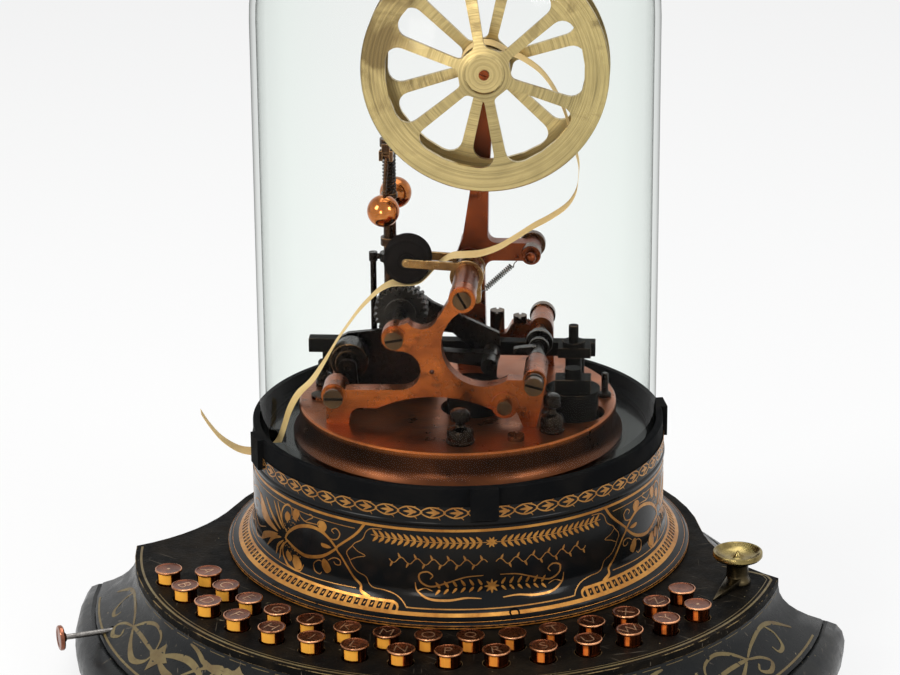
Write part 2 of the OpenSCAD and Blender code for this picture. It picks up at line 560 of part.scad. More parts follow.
// a slotted screw standing up from z
module stud_head(x, y, z, h, r) translate([x, y, z]) difference() {
    cylinder(h = h, r = r);
    translate([0, 0, h]) cube([1.2, 2 * r + 1, 1.6], center = true);
}
module frame_screws() color(bronze) works() {
    slot_head(-56, 14.5, front_face - 6, 5, 4.7, 0);
    slot_head(type_x, type_z, front_face - 4.5, 3.5, 4.4, -10);
    rod(type_x, type_z, front_face - 1.1, 4, pivot_r - 0.4);
    slot_head(tie_x, tie_z, front_face - 2.2, 1.2, 4.4, 60);
    rod(tie_x, tie_z, front_face - 1, frame_t, 2.4);
    slot_head(esc_x, esc_z, front_face - 9.5, 3.6, 4.5, 15);
    rod(esc_x, esc_z, front_face - 6.2, 5.2, 3.2);
    rod(esc_x, esc_z, front_face - 4.2, 2.2, 4.7);
    rod(esc_x, esc_z, front_face - 1.1, 4, pivot_r - 0.4);
    rod(25, 11, front_face - 5, 4, 3.6);
    rod(25, 11, front_face - 7, 2.5, 2.2);
    mirror([0, 1, 0]) slot_head(esc_x, esc_z, -rear_back - 5, 4, 6.4, 10);
    mirror([0, 1, 0]) slot_head(tie_x, tie_z, -rear_back - 3, 3, 4.8, 35);
    rod(tie_x, tie_z, rear_face, frame_t + 1, 2.4);
    stud_head(hump_x, rear_face + frame_t / 2, hump_z, 3.5, 3.4);
    stud_head(ledge_x, rear_face + frame_t / 2, ledge_z, 11.5, 3.6);
    stud_head(31, -56.4, 0, 2.6, 4);
    translate([-66, -4, 0]) cylinder(h = 1.6, r = 5);
}
module binding_post(x, y, h, r) translate([x, y, 0]) {
    cylinder(h = h * 0.42, r = r);
    translate([0, 0, h * 0.42]) cylinder(h = h * 0.14, r1 = r, r2 = r * 0.5);
    translate([0, 0, h * 0.5]) cylinder(h = h * 0.25, r = r * 0.34);
    translate([0, 0, h * 0.66]) cylinder(h = h * 0.34, r = r * 0.66);
}
module binding_posts() color(bronze) works() {
    binding_post(5.2, -61.4, 16.4, 6.8);
    binding_post(47.4, -44.4, 18.6, 6);
    binding_post(-66.5, 14, 13, 4.2);
    translate([71.2, 4, 0]) {
        cylinder(h = 2, r = 3.2);
        cylinder(h = 12, r = 1.7);
    }
}
lever_at = [16, 20];
module print_lever() color(black) works() difference() {
    union() {
        slab(-4, 6) polygon(rounded([[lever_at[0] + 4, lever_at[1] - 4, 3],
            [lever_at[0] + 4, lever_at[1] + 4, 3], [0, 24, 4], [type_x + 6, 26, 2],
            [type_x + 4, 28.6, 1], [type_x - 3, 28.6, 1], [type_x - 3, 23.5, 1.5], [0, 18.5, 4]], 4));
        rod(lever_at[0], lever_at[1], -13, 23, 4);
    }
    rod(lever_at[0], lever_at[1], -20, 60, pivot_r + run);
}
module escapement_shaft() color(black) works() {
    rod(esc_x, esc_z, front_face + 5, rear_back - front_face - 8, pivot_r);
    rod(esc_x, esc_z, barrel_back + clear, rear_face - 10.6 - barrel_back - clear, 2.6);
    rod(esc_x, esc_z, barrel_back + 5, 4, 4);
    rod(esc_x, esc_z, 6, 3, 5);
    rod(esc_x, esc_z, 13, 3, 6.6);
    rod(esc_x, esc_z, 17, 4, 5.4);
    slab(0, 4) polygon(rounded([[esc_x - 2, esc_z - 2, 0], [esc_x - 1, esc_z + 3, 0],
        [esc_x - 12, esc_z + 1.5, 1], [esc_x - 12, esc_z - 1.5, 1]], 3));
}

// ---- the governor ----
pin_z = gov_h - 4;
pin_out = 6;
spindle_top_r = 1.9;                      // the spindle is slim where its coil spring sits
spring_seat = 97;
module governor_spindle() color(bronze) works() translate([gov_x, gov_y, 0]) rotate([0, 0, gov_turn]) {
    translate([0, 0, 3 + clear]) cylinder(h = spring_seat - 3 - clear, r = gov_r);
    translate([0, 0, spring_seat - 1]) cylinder(h = gov_h - spring_seat + 1, r = spindle_top_r);
    translate([0, 0, spring_seat - 2.5]) cylinder(h = 2.5, r = gov_r + 0.9);
    translate([0, 0, gov_h - 1]) cylinder(h = 4, r = 4.4);
    translate([-2, -pin_out - 2, gov_h - 2]) cube([4, 2 * pin_out + 4, 4]);
    for (s = [-1, 1]) difference() {
        translate([-3.4, s * pin_out - 2, pin_z - 2.4]) cube([6.8, 4, 5]);
        translate([-1.6, s * pin_out - 3, pin_z - 4]) cube([3.2, 6, 5.6]);
        translate([-5, s * pin_out, pin_z]) rotate([0, 90, 0]) cylinder(h = 10, r = 0.8, $fn = 24);
    }
    translate([0, 0, 9]) cylinder(h = 4, r = gov_r + 0.7);
    translate([0, 0, eye_z + 6]) cylinder(h = 4, r = 4.6);
}
// ball on its arm, hung from the spindle's head; side is -1 for the near one
module ball_arm(side) works() translate([gov_x, gov_y, 0]) rotate([0, 0, gov_turn]) {
    hang = atan((ball_out - pin_out) / (pin_z - ball_z));
    reach = norm([ball_out - pin_out, pin_z - ball_z]);
    translate([0, side * ball_out, ball_z]) sphere(r = ball_r, $fn = 96);
    translate([0, side * pin_out, pin_z]) {
        rotate([side * hang, 0, 0]) translate([0, 0, -reach]) cylinder(h = reach - 1, r = 0.9);
        rotate([0, 90, 0]) translate([0, 0, -1.4]) cylinder(h = 2.8, r = 1.5);
        rotate([0, 90, 0]) translate([0, 0, -3.2]) cylinder(h = 6.4, r = 0.75, $fn = 24);
    }
}
module governor_ball_front() color(copper) ball_arm(-1);
module governor_ball_rear() color(copper) ball_arm(1);

// ---- the return spring: one unbroken tube from hook to hook ----
pin_at = [28, 66];                        // pin on the bracket's arm
spring_a = [pin_at[0], post_y - 2.5, pin_at[1] - 1.3];  // upper hook, under that pin
spring_b = [tie_x + 6, 8.8, tie_z - 12.6];  // lower hook, behind the roller arm's tail
spring_curls = 15;
spring_r = 1.25;
wire_r = 0.3;
function cross(a, b) = [a[1] * b[2] - a[2] * b[1], a[2] * b[0] - a[0] * b[2], a[0] * b[1] - a[1] * b[0]];
// a closed tube through points, sides and radius given
module tube(p, r, sides) {
    n = len(p);
    dirs = [for (i = [0:n - 1]) unit(p[min(i + 1, n - 1)] - p[max(i - 1, 0)])];
    frames = [for (d = dirs) let (u = unit(cross(d, [0.31, 0.9, 0.3]))) [u, cross(d, u)]];
    polyhedron(points = [for (i = [0:n - 1]) for (k = [0:sides - 1])
            p[i] + r * (cos(360 * k / sides) * frames[i][0] + sin(360 * k / sides) * frames[i][1])],
        faces = concat([[for (k = [0:sides - 1]) k]],
            [for (i = [0:n - 2]) for (k = [0:sides - 1]) let (a = i * sides + k,
                b = i * sides + (k + 1) % sides) each [[a, b + sides, b], [a, a + sides, b + sides]]],
            [[for (k = [0:sides - 1]) n * sides - 1 - k]]));
}
spring_d = unit(spring_b - spring_a);
spring_u = unit(cross(spring_d, [0, 1, 0]));
spring_v = cross(spring_d, spring_u);
spring_len = norm(spring_b - spring_a);
hook = 3.2;
function coil_point(t) = spring_a + spring_d * lerp(hook, spring_len - hook, t)
    + spring_r * (cos(360 * spring_curls * t) * spring_u + sin(360 * spring_curls * t) * spring_v);
coil_n = 8 * spring_curls;
coil_points = [for (i = [0:coil_n]) coil_point(i / coil_n)];
echo(least_gap_in_return_spring = min([for (i = [0:coil_n - 5]) for (k = [5:min(12, coil_n - i)])
    norm(coil_points[i + k] - coil_points[i])]) - 2 * wire_r);
module return_spring() color([0.6, 0.6, 0.6]) works() tube(concat(
    [spring_a, spring_a + spring_d * 1.6, spring_a + spring_d * (hook - 0.6) + spring_u * 0.7],
    coil_points,
    [spring_b - spring_d * (hook - 0.6) + spring_u * 0.7, spring_b - spring_d * 1.6, spring_b]),
    wire_r, 6);

// ---- the paper tape: across, depth and height of points along its middle, chosen by hand ----
tape_route = concat(
    [for (a = [200:-20:60]) [reel_x + (core_r + 0.9) * cos(a), tape_y, reel_z + (core_r + 0.9) * sin(a)]],
    [[24.5, tape_y, 172], [31, tape_y, 169], [39, tape_y, 163.5], [44.4, tape_y, 157],
     [48.6, tape_y, 149.5], [52, tape_y, 141], [56.4, tape_y, 124.5], [58, tape_y, 118],
     [58, tape_y, 112], [56.8, tape_y, 104], [52.6, tape_y, 97], [44.6, tape_y, 91],
     [36.6, tape_y, 86.4], [28, tape_y, 80.6], [20, tape_y, 75.6], [11.4, tape_y, 72.4],
     [4, tape_y, 71.6], [-3, tape_y, 70.8]]);
tape_feed = [[-10, tape_y, 66], [-14, tape_y, 61.6], [-17.4, tape_y, 58.6], [-21, tape_y, 57.4],
    [-25.3, tape_y, 57.1], [-31.6, tape_y, 56.6], [-37.4, tape_y, 53.4], [-43, tape_y, 48],
    [-47.8, tape_y, 42.6], [-52.4, tape_y, 36.2], [-58.6, tape_y, 27], [-64.2, 0, 17.6], [-70.4, -4, 8.6],
    [-76.6, -7.5, 3], [-81, -10, -4.6], [-84, -12, -14], [-87, -13.5, -21], [-92, -14.5, -24],
    [-99, -15.5, -24.4], [-106, -16.2, -22.8], [-113.6, -16.6, -17.6], [-119.4, -16.6, -10.6],
    [-123.4, -16.6, -4]];
tape_points = concat(tape_route, tape_feed);
tape_twist = -14;                         // how far the free end turns towards the front
// a ribbon through points, its width across the direction given at each point
module paper_tape() color(paper) works() {
    p = tape_points;
    n = len(p);
    m = len(tape_route) + 10;
    dirs = [for (i = [0:n - 1]) unit(p[min(i + 1, n - 1)] - p[max(i - 1, 0)])];
    wide = [for (i = [0:n - 1]) let (a = i < m ? 0 : tape_twist * min(1, (i - m) / 4))
        unit(cross(cross(dirs[i], [sin(a), cos(a), 0]), dirs[i]))];
    flat = [for (i = [0:n - 1]) cross(dirs[i], wide[i])];
    polyhedron(points = [for (i = [0:n - 1]) each [for (s = [[-1, -1], [1, -1], [1, 1], [-1, 1]])
            p[i] + s[0] * tape_w / 2 * wide[i] + s[1] * tape_t / 2 * flat[i]]],
        faces = concat([[1, 2, 3], [0, 1, 3]],
            [for (i = [0:n - 2]) for (k = [0:3]) let (a = 4 * i + k, b = 4 * i + (k + 1) % 4)
                each [[a, b + 4, b], [a, a + 4, b + 4]]],
            [[4 * n - 2, 4 * n - 3, 4 * n - 4], [4 * n - 1, 4 * n - 2, 4 * n - 4]]));
}

// ---- what turns and slides in the base ----
contact_top = plate_top - 31;
stem_foot = contact_top + key_travel + 1;
contact_half = key_pitch * (keys_row + 0.6) / 2;  // half of the arc that the keys reach
module contact_ring() color(brass) {
    rotate([0, 0, -90 - contact_half]) rotate_extrude(angle = 2 * contact_half, $fn = 128)
        translate([inner_row_r - 4, contact_top - 3]) square([outer_row_r - inner_row_r + 8, 3]);
    for (a = [-1, 0, 1]) rotate([0, 0, -90 + a * (contact_half - 6)]) translate([inner_row_r + 8, 0, board_t]) cylinder(h = contact_top - 3 - board_t, r = 3);
}
arm_reach = inner_row_r - 12;
module trailer_arm() color(brass) {
    translate([0, 0, board_t + clear]) cylinder(h = plate_top - board_t - 12, r = 4);
    rotate([0, 0, -90]) translate([0, -4, contact_top - 4]) cube([arm_reach, 8, 3]);
    translate([0, 0, board_t + 5]) cylinder(h = 6, r = 22);
}
collar_t = 1.6;
module key(i) color(copper) translate([key_at(i)[0], key_at(i)[1], 0]) {
    translate([0, 0, plate_top - 2]) cylinder(h = key_h + 1, r = key_body_r, $fn = 40);
    translate([0, 0, plate_top + key_h - 1.2]) cylinder(h = 0.9, r = key_r, $fn = 48);
    translate([0, 0, plate_top + key_h - 0.3]) cylinder(h = 0.3, r1 = key_r, r2 = key_r - 0.3, $fn = 48);
    translate([0, 0, plate_top - plate_t - clear - collar_t]) cylinder(h = collar_t, r = key_body_r + key_gap + 0.5);
    translate([0, 0, stem_foot]) cylinder(h = plate_top - stem_foot - 1, r = 1.6, $fn = 24);
    translate([0, 0, plate_top - plate_t - clear - 0.5]) cylinder(h = 4, r = 3, $fn = 24);
}
dish_r = 11.8;
dish_z = 16;
pointer_deg = 248;
pointer_l = 26.5;
module selector_knob() color(brass) translate([knob_at[0], knob_at[1], plate_top]) {
    rotate_extrude($fn = 64) polygon([[0, 0.4], [knob_stem_r + 1.3, 0.4], [knob_stem_r + 0.4, 2.4],
        [knob_stem_r, 4], [knob_stem_r, 10.5], [dish_r - 2.5, 12.2], [dish_r, 13.6], [dish_r, dish_z],
        [dish_r - 1, dish_z + 0.2], [dish_r - 2.6, dish_z - 0.9], [4, dish_z - 3], [2.2, dish_z - 2.4],
        [0.5, dish_z + 0.6], [0, dish_z + 0.6]]);
    rotate([0, 0, pointer_deg]) translate([0, 0, 0.4]) linear_extrude(3.8) polygon([[0, -4.4],
        [pointer_l, -0.2], [pointer_l, 0.2], [0, 4.4]]);
    translate([0, 0, -plate_t - 2]) cylinder(h = plate_t + 3, r = 2.5);
    translate([0, 0, -plate_t - 4]) cylinder(h = 4 - clear, r = 5);
}
module side_plunger() color([0.5, 0.38, 0.34]) plunger_line() {
    translate([0, 0, -24]) cylinder(h = 42, r = plunger_r, $fn = 32);
    translate([0, 0, 17]) rotate_extrude($fn = 48) polygon([[0, 0], [1.8, 0], [2.6, 1],
        [5.8, 1.6], [6.1, 2.2], [6.1, 3.4], [5.6, 4], [0, 4]]);
    translate([0, 0, -21.8]) cylinder(h = 2, r = 3.2);
}

base_skirt();
keyboard_plate();
bottom_board();
pedestal_drum();
dome_ring();
bed_plate();
front_frame();
rear_frame();
reel_bracket();
works_bracket();
electromagnets();
frame_screws();
binding_posts();
return_spring();
paper_tape();
contact_ring();
glass_dome();
tape_reel();
roller_arm();
pressure_roller();
type_wheel();
feed_roller();
print_lever();
escapement_shaft();
governor_spindle();
governor_ball_front();
governor_ball_rear();
selector_knob();
side_plunger();
trailer_arm();
for (i = [0:2 * keys_row - 1]) key(i);
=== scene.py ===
"""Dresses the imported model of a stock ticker, a tape printer under a glass dome, as a visual model."""
import bpy
import bmesh
from math import atan2, cos, hypot, pi, radians, sin
from mathutils import Matrix, Vector


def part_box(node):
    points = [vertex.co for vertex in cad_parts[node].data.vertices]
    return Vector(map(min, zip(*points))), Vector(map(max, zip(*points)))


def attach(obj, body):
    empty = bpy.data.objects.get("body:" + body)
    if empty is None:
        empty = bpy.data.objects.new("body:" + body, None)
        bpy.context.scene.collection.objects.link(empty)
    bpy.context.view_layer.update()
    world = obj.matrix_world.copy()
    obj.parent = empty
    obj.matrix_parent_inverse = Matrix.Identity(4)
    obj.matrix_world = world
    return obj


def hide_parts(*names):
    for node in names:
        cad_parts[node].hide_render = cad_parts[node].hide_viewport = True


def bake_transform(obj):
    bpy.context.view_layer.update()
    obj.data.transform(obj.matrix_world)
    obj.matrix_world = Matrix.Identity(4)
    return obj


bl_info = {
    "name": "Stock Ticker Finish",
    "version": (1, 0, 0),
    "blender": (4, 5, 0),
    "location": "View3D > Sidebar > Ticker",
    "description": "Dresses a stock ticker's construction model with its finishes, gilding and fine detail",
    "category": "Object",
}

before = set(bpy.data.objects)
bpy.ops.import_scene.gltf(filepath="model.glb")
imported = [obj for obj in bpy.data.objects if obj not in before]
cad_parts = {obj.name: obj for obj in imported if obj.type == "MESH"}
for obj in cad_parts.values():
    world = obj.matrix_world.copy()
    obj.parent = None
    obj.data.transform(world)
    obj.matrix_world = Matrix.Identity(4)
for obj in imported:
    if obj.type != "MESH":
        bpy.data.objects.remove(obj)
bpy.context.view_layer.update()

# ---- sizes of the construction model that the details are set out from, in millimetres ----
MM = 0.001
PLATE_TOP = 60.0
DRUM_R = 100.1
DRUM_TOP = 116.0
FLANGE_R = 113.0
BED_TOP = 133.0
WORKS_TURN = 4.3
FRONT_CENTRE = Vector((2.0, -12.0, 0.0))
FRONT_R = 158.0
CORNER_DEG = 7.5
COVE_OUT = 19.5
COVE_TOP = 56.0
FOOT_TOP = 33.5
PANEL_DEG = -73.1          # bearing of the middle of the drum's painted panel
TIE = (5.0, 63.0)
ESC = (39.0, 23.5)
TYPE = (-27.0, 43.5)
REEL = (14.0, 164.0)
REEL_CORE_R = 11.4
GOVERNOR = (-33.7, 20.0)
BALLS = {"front": (-35.37, 4.59, 92.2), "rear": (-32.03, 35.41, 92.2)}
BALL_REACH = 8.1           # beyond this from its centre, a ball's faces are its arm's
POSTS = ((5.2, -61.4, 16.4, 6.8), (47.4, -44.4, 18.6, 6.0), (-66.5, 14.0, 13.0, 4.2))
TAPE_Y = 2.2
TAPE_WIDTH = 11.0
TAPE_THICK = 0.16
ROLLER_R = 11.5
ROLLER_WIDTH = 11.0
DOME_R = 96.0
DOME_WALL = 3.0
KEY_R = 5.5
SELECTOR_AT = (139.3, -40.0, PLATE_TOP)
SELECTOR_R = 11.8
PLUNGER_DEG = 207.2
PLUNGER_OUT = 181.0
PLUNGER_Z = PLATE_TOP - 24.0
WORN_EDGE_DEG = 38.0       # edges sharper than this are rounded
WORKS = Matrix.Rotation(radians(WORKS_TURN), 4, "Z") @ Matrix.Translation((0, 0, BED_TOP))
DEPTH = Matrix.Rotation(radians(-90), 4, "X")     # turns a lathe's axis from up to along the works' depth
LETTERS = {16: "A", 2: "B", 17: "C", 3: "D", 18: "E", 4: "F", 19: "G", 5: "H", 20: "I", 6: "J", 21: "K",
           7: "L", 22: "M", 8: "N", 23: "O", 9: "P", 24: "Q", 10: "R", 11: "S", 26: "T", 12: "U", 27: "V",
           13: "W", 28: "X", 14: "Y", 29: "Z"}


def colour_setting(label, text, value):
    return bpy.props.FloatVectorProperty(name=label, description=text, subtype="COLOR", default=value,
                                         min=0, max=1)


def length_setting(label, text, value, low, high):
    return bpy.props.FloatProperty(name=label, description=text, unit="LENGTH", default=value,
                                   min=low, max=high)


class TickerSettings(bpy.types.PropertyGroup):
    """Sizes and colours of the ticker's finish."""
    japan: colour_setting("Japan", "Colour of the black stoved enamel", (0.0050, 0.0056, 0.0062))
    gilt: colour_setting("Gilt", "Colour of the drum's gilding", (0.51, 0.245, 0.054))
    old_gilt: colour_setting("Old gilt", "Colour of the dulled gilding on the base", (0.155, 0.118, 0.044))
    copper: colour_setting("Copper", "Colour of the frames' copper bronze", (0.46, 0.120, 0.025))
    brass: colour_setting("Reel brass", "Colour of the reel's pale brass", (0.56, 0.43, 0.195))
    key_metal: colour_setting("Key metal", "Colour of the keys' lacquered copper", (0.33, 0.080, 0.020))
    glass_tint: colour_setting("Glass tint", "What one face of the dome lets through", (0.990, 0.994, 0.991))
    letter_height: length_setting("Letter height", "Height of the letters engraved in the keys",
                                  0.0060, 0.003, 0.008)
    pinstripe: length_setting("Pinstripe", "Width of the wide line on the keyboard plate",
                              0.0011, 0.0004, 0.003)
    edge_round: length_setting("Edge rounding", "Rounding of the frames' worn edges", 0.0004, 0.0001, 0.001)


# ---- finishes ----
class Recipe:
    """A material in the making: its nodes are added one by one and joined as they come."""

    def __init__(self, name):
        self.material = bpy.data.materials.new(name)
        self.material.use_nodes = True
        self.tree = self.material.node_tree
        self.tree.nodes.clear()
        self.out = self.tree.nodes.new("ShaderNodeOutputMaterial")
        self.shader = self.tree.nodes.new("ShaderNodeBsdfPrincipled")
        self.tree.links.new(self.shader.outputs[0], self.out.inputs[0])
        self.place = self.tree.nodes.new("ShaderNodeTexCoord").outputs["Object"]

    def join(self, value, socket):
        if isinstance(value, bpy.types.NodeSocket):
            self.tree.links.new(value, socket)
        else:
            socket.default_value = value

    def node(self, kind, settings=(), **inputs):
        n = self.tree.nodes.new(kind)
        for key, value in dict(settings).items():
            setattr(n, key, value)
        for key, value in inputs.items():
            self.join(value, n.inputs[key.replace("_", " ")])
        return n

    def mapped(self, scale=(1, 1, 1), centre=(0, 0, 0), turn=(0, 0, 0)):
        shifted = self.node("ShaderNodeMapping", {"vector_type": "TEXTURE"}, Vector=self.place,
                            Location=centre, Rotation=turn)
        return self.node("ShaderNodeMapping", Vector=shifted.outputs[0], Scale=scale).outputs[0]

    def noise(self, vector, scale, detail=4.0, roughness=0.55, distortion=0.0):
        return self.node("ShaderNodeTexNoise", Vector=vector, Scale=scale, Detail=detail,
                         Roughness=roughness, Distortion=distortion).outputs[0]

    def spots(self, vector, scale):
        return self.node("ShaderNodeTexVoronoi", Vector=vector, Scale=scale).outputs[0]

    def span(self, value, low, high, to_low=0.0, to_high=1.0):
        return self.node("ShaderNodeMapRange", Value=value, From_Min=low, From_Max=high,
                         To_Min=to_low, To_Max=to_high).outputs[0]

    def blend(self, factor, first, second):
        n = self.tree.nodes.new("ShaderNodeMix")
        n.data_type = "RGBA"
        for value, index in ((factor, 0), (first, 6), (second, 7)):
            if not isinstance(value, (bpy.types.NodeSocket, float, int)):
                value = (*value, 1.0)
            self.join(value, n.inputs[index])
        return n.outputs[2]

    def sum(self, operation, first, second):
        n = self.node("ShaderNodeMath", {"operation": operation})
        self.join(first, n.inputs[0])
        self.join(second, n.inputs[1])
        return n.outputs[0]

    def bump(self, height, distance, strength=1.0):
        return self.node("ShaderNodeBump", Height=height, Distance=distance, Strength=strength).outputs[0]

    def attribute(self, name):
        return self.node("ShaderNodeAttribute", {"attribute_name": name}).outputs["Fac"]

    def worn(self):
        """1 on the faces that the maker's edge rounding made, 0 elsewhere."""
        return self.attribute("wear")

    def finish(self, **sockets):
        for key, value in sockets.items():
            self.join((*value, 1.0) if isinstance(value, tuple) and len(value) == 3 else value,
                      self.shader.inputs[key.replace("_", " ")])
        return self.material


def metal_finish(name, bright, dull, dark, rough=(0.25, 0.45), grain=(60, 60, 900), patina=45.0, pits=0.0,
                 wear=None, relief=0.00004, shade=None):
    """Old metal: a patina in clouds, fine lines along the grain, dark pits; shade paints shade on a band of
    height.
    """
    r = Recipe(name)
    clouds = r.noise(r.mapped(), patina, 6.0, 0.62, 0.4)
    colour = r.blend(r.span(clouds, 0.36, 0.66), dull, bright)
    stains = r.noise(r.mapped((1, 1, 1), (0.31, 0.17, 0.05)), patina * 2.3, 5.0, 0.6, 1.2)
    colour = r.blend(r.span(stains, 0.56, 0.74, 0.0, 0.85), colour, dark)
    lines = r.noise(r.mapped(grain), 1.0, 3.0, 0.7)
    colour = r.blend(r.span(lines, 0.42, 0.72, 0.0, 0.30), colour, dark)
    broad = r.noise(r.mapped((1, 1, 1), (0.6, 0.2, 0.9)), patina * 0.45, 3.0, 0.5, 0.5)
    colour = r.blend(r.span(broad, 0.40, 0.66, 0.0, 0.55), colour, tuple(c * 0.5 for c in dull))
    # painted shade: faces between two heights are darkened towards the tone given
    if shade:
        low, high, tone = shade
        z = r.node("ShaderNodeSeparateXYZ", Vector=r.place).outputs["Z"]
        inside = r.sum("MULTIPLY", r.span(z, low, low + 0.0012), r.span(z, high, high - 0.0012))
        colour = r.blend(r.sum("MULTIPLY", inside, 0.86), colour, tone)
    height = lines
    if pits:
        holes = r.span(r.spots(r.mapped(), 620.0), 0.05, 0.20)
        some = r.span(r.noise(r.mapped((1, 1, 1), (0.1, 0.3, 0.2)), 240.0, 2.0), 0.60 - 0.14 * pits, 0.62)
        hole = r.sum("MULTIPLY", r.sum("SUBTRACT", 1.0, holes), some)
        colour = r.blend(r.sum("MULTIPLY", hole, 0.85), colour, dark)
        height = r.sum("SUBTRACT", lines, hole)
    if wear:
        rub = r.sum("MULTIPLY", r.worn(), r.span(r.noise(r.mapped(), 130.0, 4.0), 0.34, 0.56))
        colour = r.blend(r.sum("MULTIPLY", rub, 0.8), colour, wear)
    roughness = r.span(r.noise(r.mapped(), patina * 3.1, 5.0, 0.65), 0.3, 0.7, *rough)
    return r.finish(Base_Color=colour, Metallic=1.0, Roughness=roughness, Normal=r.bump(height, relief, 0.7))


def japan_finish(name, colour, tone, rough, grain=420.0, relief=0.00003, rubs=(0.17, 0.095, 0.04),
                 scuffs=0.0, gloss=0.14):
    """Black stoved enamel: faint brown clouds, orange peel, rubbed edges, hairline scuffs and small chips."""
    r = Recipe(name)
    clouds = r.noise(r.mapped(), 34.0, 6.0, 0.68, 0.6)
    base = r.blend(r.span(clouds, 0.44, 0.66), colour, tone)
    peel = r.noise(r.mapped(), grain, 5.0, 0.65)
    height = peel
    if scuffs:
        for turn in (0.4, 1.7, 2.6):
            hair = r.noise(r.mapped((34, 900, 300), (0.2 * turn, 0.1, 0), (0, 0, turn)), 1.0, 2.0, 0.4, 0.4)
            line = r.sum("MULTIPLY", r.span(hair, 0.70, 0.74),
                         r.span(r.noise(r.mapped((1, 1, 1), (turn, 0, 0)), 60.0, 2.0), 0.46, 0.58))
            base = r.blend(r.sum("MULTIPLY", line, scuffs), base, (0.12, 0.10, 0.075))
        chips = r.span(r.noise(r.mapped((1, 1, 1), (0.7, 0.1, 0.4)), 330.0, 3.0, 0.5), 0.735, 0.755)
        base = r.blend(r.sum("MULTIPLY", chips, 0.9 * scuffs), base, (0.36, 0.29, 0.17))
        height = r.sum("SUBTRACT", peel, r.sum("MULTIPLY", chips, 0.8))
    rub = r.sum("MULTIPLY", r.worn(), r.span(r.noise(r.mapped(), 90.0, 5.0, 0.7), 0.46, 0.58))
    base = r.blend(r.sum("MULTIPLY", rub, 0.85), base, rubs)
    roughness = r.span(r.noise(r.mapped(), 120.0, 6.0, 0.7), 0.3, 0.7, *rough)
    return r.finish(Base_Color=base, Roughness=roughness, Normal=r.bump(height, relief, 0.6),
                    Specular_IOR_Level=gloss)


def gilt_finish(name, colour, loss, rough=(0.28, 0.5), metallic=0.85):
    """Gold leaf laid on enamel, thin and rubbed through in places."""
    r = Recipe(name)
    clouds = r.noise(r.mapped(), 70.0, 5.0, 0.6, 0.5)
    deep = tuple(c * k for c, k in zip(colour, (0.62, 0.52, 0.46)))
    base = r.blend(r.span(clouds, 0.35, 0.68), deep, colour)
    gone = r.noise(r.mapped((1, 1, 1), (0.2, 0.4, 0.1)), 420.0, 4.0, 0.65, 0.6)
    missing = r.span(gone, 0.68 - 0.12 * loss, 0.73 - 0.10 * loss)
    base = r.blend(r.sum("MULTIPLY", missing, 0.9), base, (0.022, 0.017, 0.012))
    roughness = r.span(r.noise(r.mapped(), 260.0, 4.0, 0.6), 0.3, 0.7, *rough)
    return r.finish(Base_Color=base, Metallic=metallic, Roughness=roughness,
                    Normal=r.bump(gone, 0.00002, 0.5))


def highlit_copper_finish(name, metal, dark, bright):
    """Lacquered copper with a painted highlight: a bright orange patch painted on the front of each key's side,
    and streaks round its sides.
    """
    r = Recipe(name)
    streaks = r.noise(r.mapped((700, 700, 30)), 1.0, 3.0, 0.7)
    colour = r.blend(r.span(streaks, 0.40, 0.62), dark, metal)
    # the face attribute read here marks where the highlight is painted; there the copper turns less metallic
    # and bright orange
    painted_highlight = r.attribute("painted_highlight")
    soft = r.noise(r.mapped(), 260.0, 3.0, 0.5)
    highlight_patch = r.span(r.sum("ADD", painted_highlight, r.span(soft, 0.3, 0.7, -0.12, 0.12)), 0.30, 0.70)
    red = tuple(c * k for c, k in zip(bright, (0.80, 0.26, 0.35)))
    highlight_colour = r.blend(r.span(painted_highlight, 0.55, 1.0), red, bright)
    colour = r.blend(highlight_patch, colour, highlight_colour)
    return r.finish(Base_Color=colour, Metallic=r.span(highlight_patch, 0.0, 1.0, 1.0, 0.10),
                    Roughness=r.span(streaks, 0.3, 0.7, 0.14, 0.30),
                    Normal=r.bump(streaks, 0.00001, 0.5))


def reel_finish(name, bright, dark):
    """Pale brass turned on a lathe: lines run round the reel, and dark brown clouds, more of them towards its
    upper left.
    """
    r = Recipe(name)
    axle = WORKS @ Vector((REEL[0], 0, REEL[1])) * MM
    about = r.mapped((1, 0.02, 1), axle, (0, 0, radians(WORKS_TURN)))
    radius = r.node("ShaderNodeVectorMath", {"operation": "LENGTH"}, Vector=about).outputs["Value"]
    rings = r.node("ShaderNodeCombineXYZ", X=radius, Y=0.0, Z=0.0).outputs[0]
    drift = r.node("ShaderNodeVectorMath", {"operation": "MULTIPLY_ADD"})
    r.join(rings, drift.inputs[0])
    r.join((1500.0, 1.0, 1.0), drift.inputs[1])
    r.join(r.mapped((22, 22, 22)), drift.inputs[2])
    lines = r.noise(drift.outputs[0], 1.0, 3.0, 0.7)
    clouds = r.noise(r.mapped(), 38.0, 6.0, 0.62, 0.8)
    side = r.node("ShaderNodeSeparateXYZ", Vector=about)
    # more dark clouds towards the reel's upper left
    upper = r.span(r.sum("SUBTRACT", side.outputs["Z"], side.outputs["X"]), 0.0, 0.075)
    dark_clouds = r.span(r.sum("ADD", clouds, r.sum("MULTIPLY", upper, 0.17)), 0.56, 0.74)
    colour = r.blend(r.span(clouds, 0.3, 0.62), tuple(c * 0.72 for c in bright), bright)
    colour = r.blend(r.span(lines, 0.44, 0.64, 0.0, 0.72), colour, tuple(c * 0.34 for c in bright))
    colour = r.blend(r.sum("MULTIPLY", dark_clouds, 0.78), colour, dark)
    roughness = r.span(lines, 0.3, 0.7, 0.27, 0.46)
    return r.finish(Base_Color=colour, Metallic=1.0, Roughness=roughness, Normal=r.bump(lines, 0.00003, 0.6))


